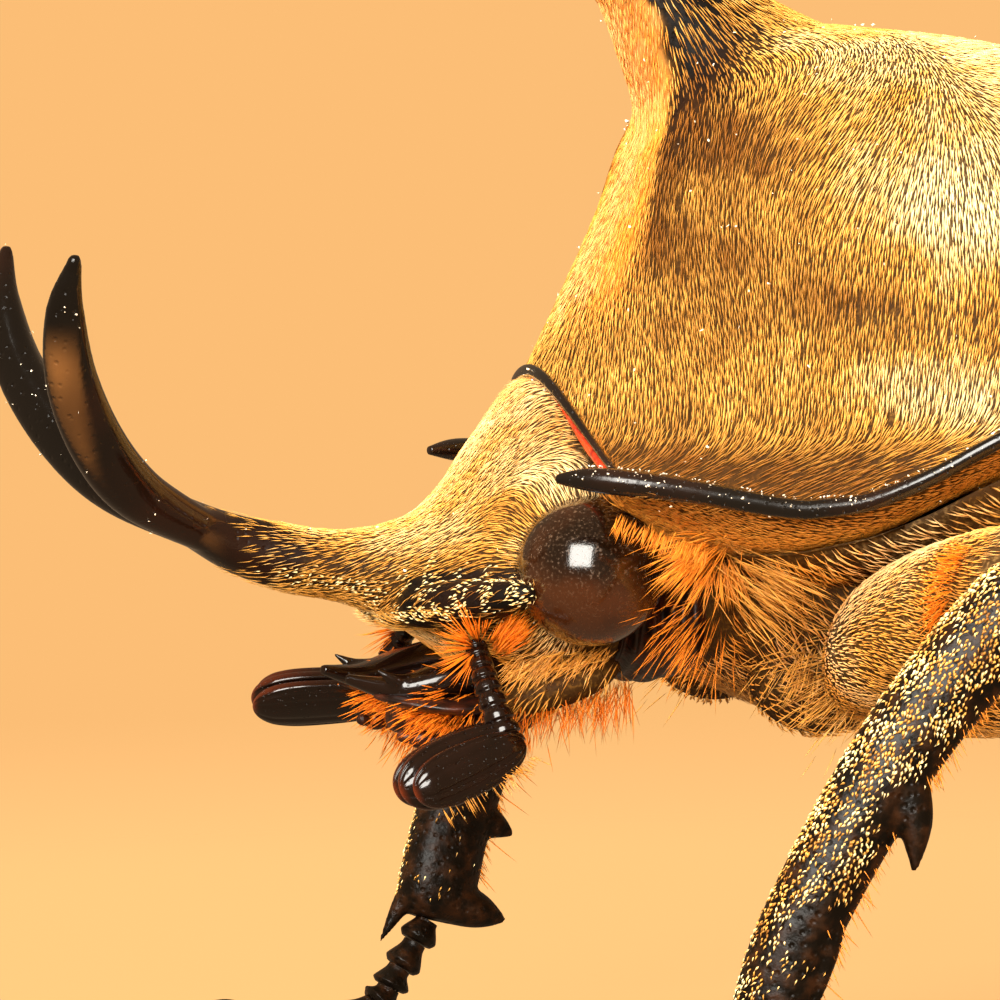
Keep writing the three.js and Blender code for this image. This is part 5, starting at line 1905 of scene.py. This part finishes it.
# The floor, the lights and the camera.
stage = {
    "paper": tint(252, 190, 118),
    "floorTint": tint(254, 197, 128),
    "floorRadius": 0.16,
    "floorGlow": 0.8,
    "surroundings": (tint(255, 214, 170), 0.24),  # colour and strength, away from the camera's own view
    # Lamps: place, size, watts, colour and whether shiny parts mirror it.
    "lamps": {
        "key": ((-0.183, -0.261, 0.173), 0.2, 1.9, (1.0, 0.96, 0.88), True),
        "top": ((0.08, 0.02, 0.36), 0.24, 3.3, (1.0, 0.95, 0.86), False),
        "bounce": ((0.0, -0.30, 0.012), 0.2, 1.8, (1.0, 0.72, 0.42), False),
        "rim": ((-0.28, 0.12, 0.16), 0.18, 3.6, (1.0, 0.9, 0.74), False),
    },
}
camera = {
    "azimuth": -14.0,
    "elevation": 3.5,
    "distance": 220.0,
    "sensor": 36.0,
    "acrossView": 33.333,  # how wide the view is where it is aimed
    "aim": (-1.03, 0.0, 20.3),
}


def makePaper():
    # Pale paper that fades into the backdrop of the same colour.
    paint = Paint("pale paper", {"Roughness": 0.95, "Specular IOR Level": 0.0})
    far = paint.node("VectorMath", {"operation": "LENGTH"}, {0: paint.spot()}, output=1)
    fade = paint.step(far, stage["floorRadius"] * 0.45, stage["floorRadius"] * 0.98, (1, 0))
    paint.feed(paint.shader, {"Emission Strength": stage["floorGlow"], "Emission Color": stage["floorTint"]})
    return paint.done(**{"Base Color": (*[0.08 * c for c in stage["paper"][:3]], 1), "Alpha": fade})


def floorPoint(t, angle):
    out = stage["floorRadius"] * (0.001 + t)
    return np.stack([np.cos(angle) * out, np.sin(angle) * out, -0.0002 - 0.001 * t], -1)


floor = bpy.data.objects.new("floor", newMesh("floor", loft(floorPoint, 96, 12)))
floor.data.materials.append(makePaper())
bpy.context.scene.collection.objects.link(floor)
floor.visible_glossy = False
floor.visible_diffuse = False

world = bpy.data.worlds.new("paper backdrop")
world.use_nodes = True
nodes, links = world.node_tree.nodes, world.node_tree.links
seen = nodes["Background"]
seen.inputs["Color"].default_value = stage["paper"]
around = nodes.new("ShaderNodeBackground")
around.inputs["Color"].default_value, around.inputs["Strength"].default_value = stage["surroundings"]
choice = nodes.new("ShaderNodeMixShader")
links.new(nodes.new("ShaderNodeLightPath").outputs["Is Camera Ray"], choice.inputs[0])
links.new(around.outputs[0], choice.inputs[1])
links.new(seen.outputs[0], choice.inputs[2])
links.new(choice.outputs[0], nodes["World Output"].inputs["Surface"])
bpy.context.scene.world = world
bpy.context.scene.view_settings.view_transform = "Standard"

aim = toRow(camera["aim"])
litPoint = np.array([-0.026, -0.005, 0.022])  # between the head and the shield, in metres
for name, (place, size, watts, colour, isMirrored) in stage["lamps"].items():
    lamp = bpy.data.lights.new(name, "AREA")
    lamp.shape = "SQUARE"
    lamp.size = size
    lamp.energy = watts
    lamp.color = colour
    made = bpy.data.objects.new(name, lamp)
    made.location = place
    made.rotation_euler = mathutils.Vector(litPoint - np.array(place)).to_track_quat("-Z", "Y").to_euler()
    made.visible_glossy = isMirrored
    bpy.context.scene.collection.objects.link(made)

turn = math.radians(camera["azimuth"])
rise = math.radians(camera["elevation"])
back = np.array([math.sin(turn) * math.cos(rise), -math.cos(turn) * math.cos(rise), math.sin(rise)])
lens = bpy.data.cameras.new("camera")
lens.sensor_width = camera["sensor"]
lens.lens = camera["sensor"] * camera["distance"] / camera["acrossView"]
lens.clip_start = 0.01
eyepoint = bpy.data.objects.new("camera", lens)
eyepoint.location = aim + back * camera["distance"] / 1000
eyepoint.rotation_euler = mathutils.Vector(-back).to_track_quat("-Z", "Y").to_euler()
bpy.context.scene.collection.objects.link(eyepoint)
bpy.context.scene.camera = eyepoint
print("stage set")
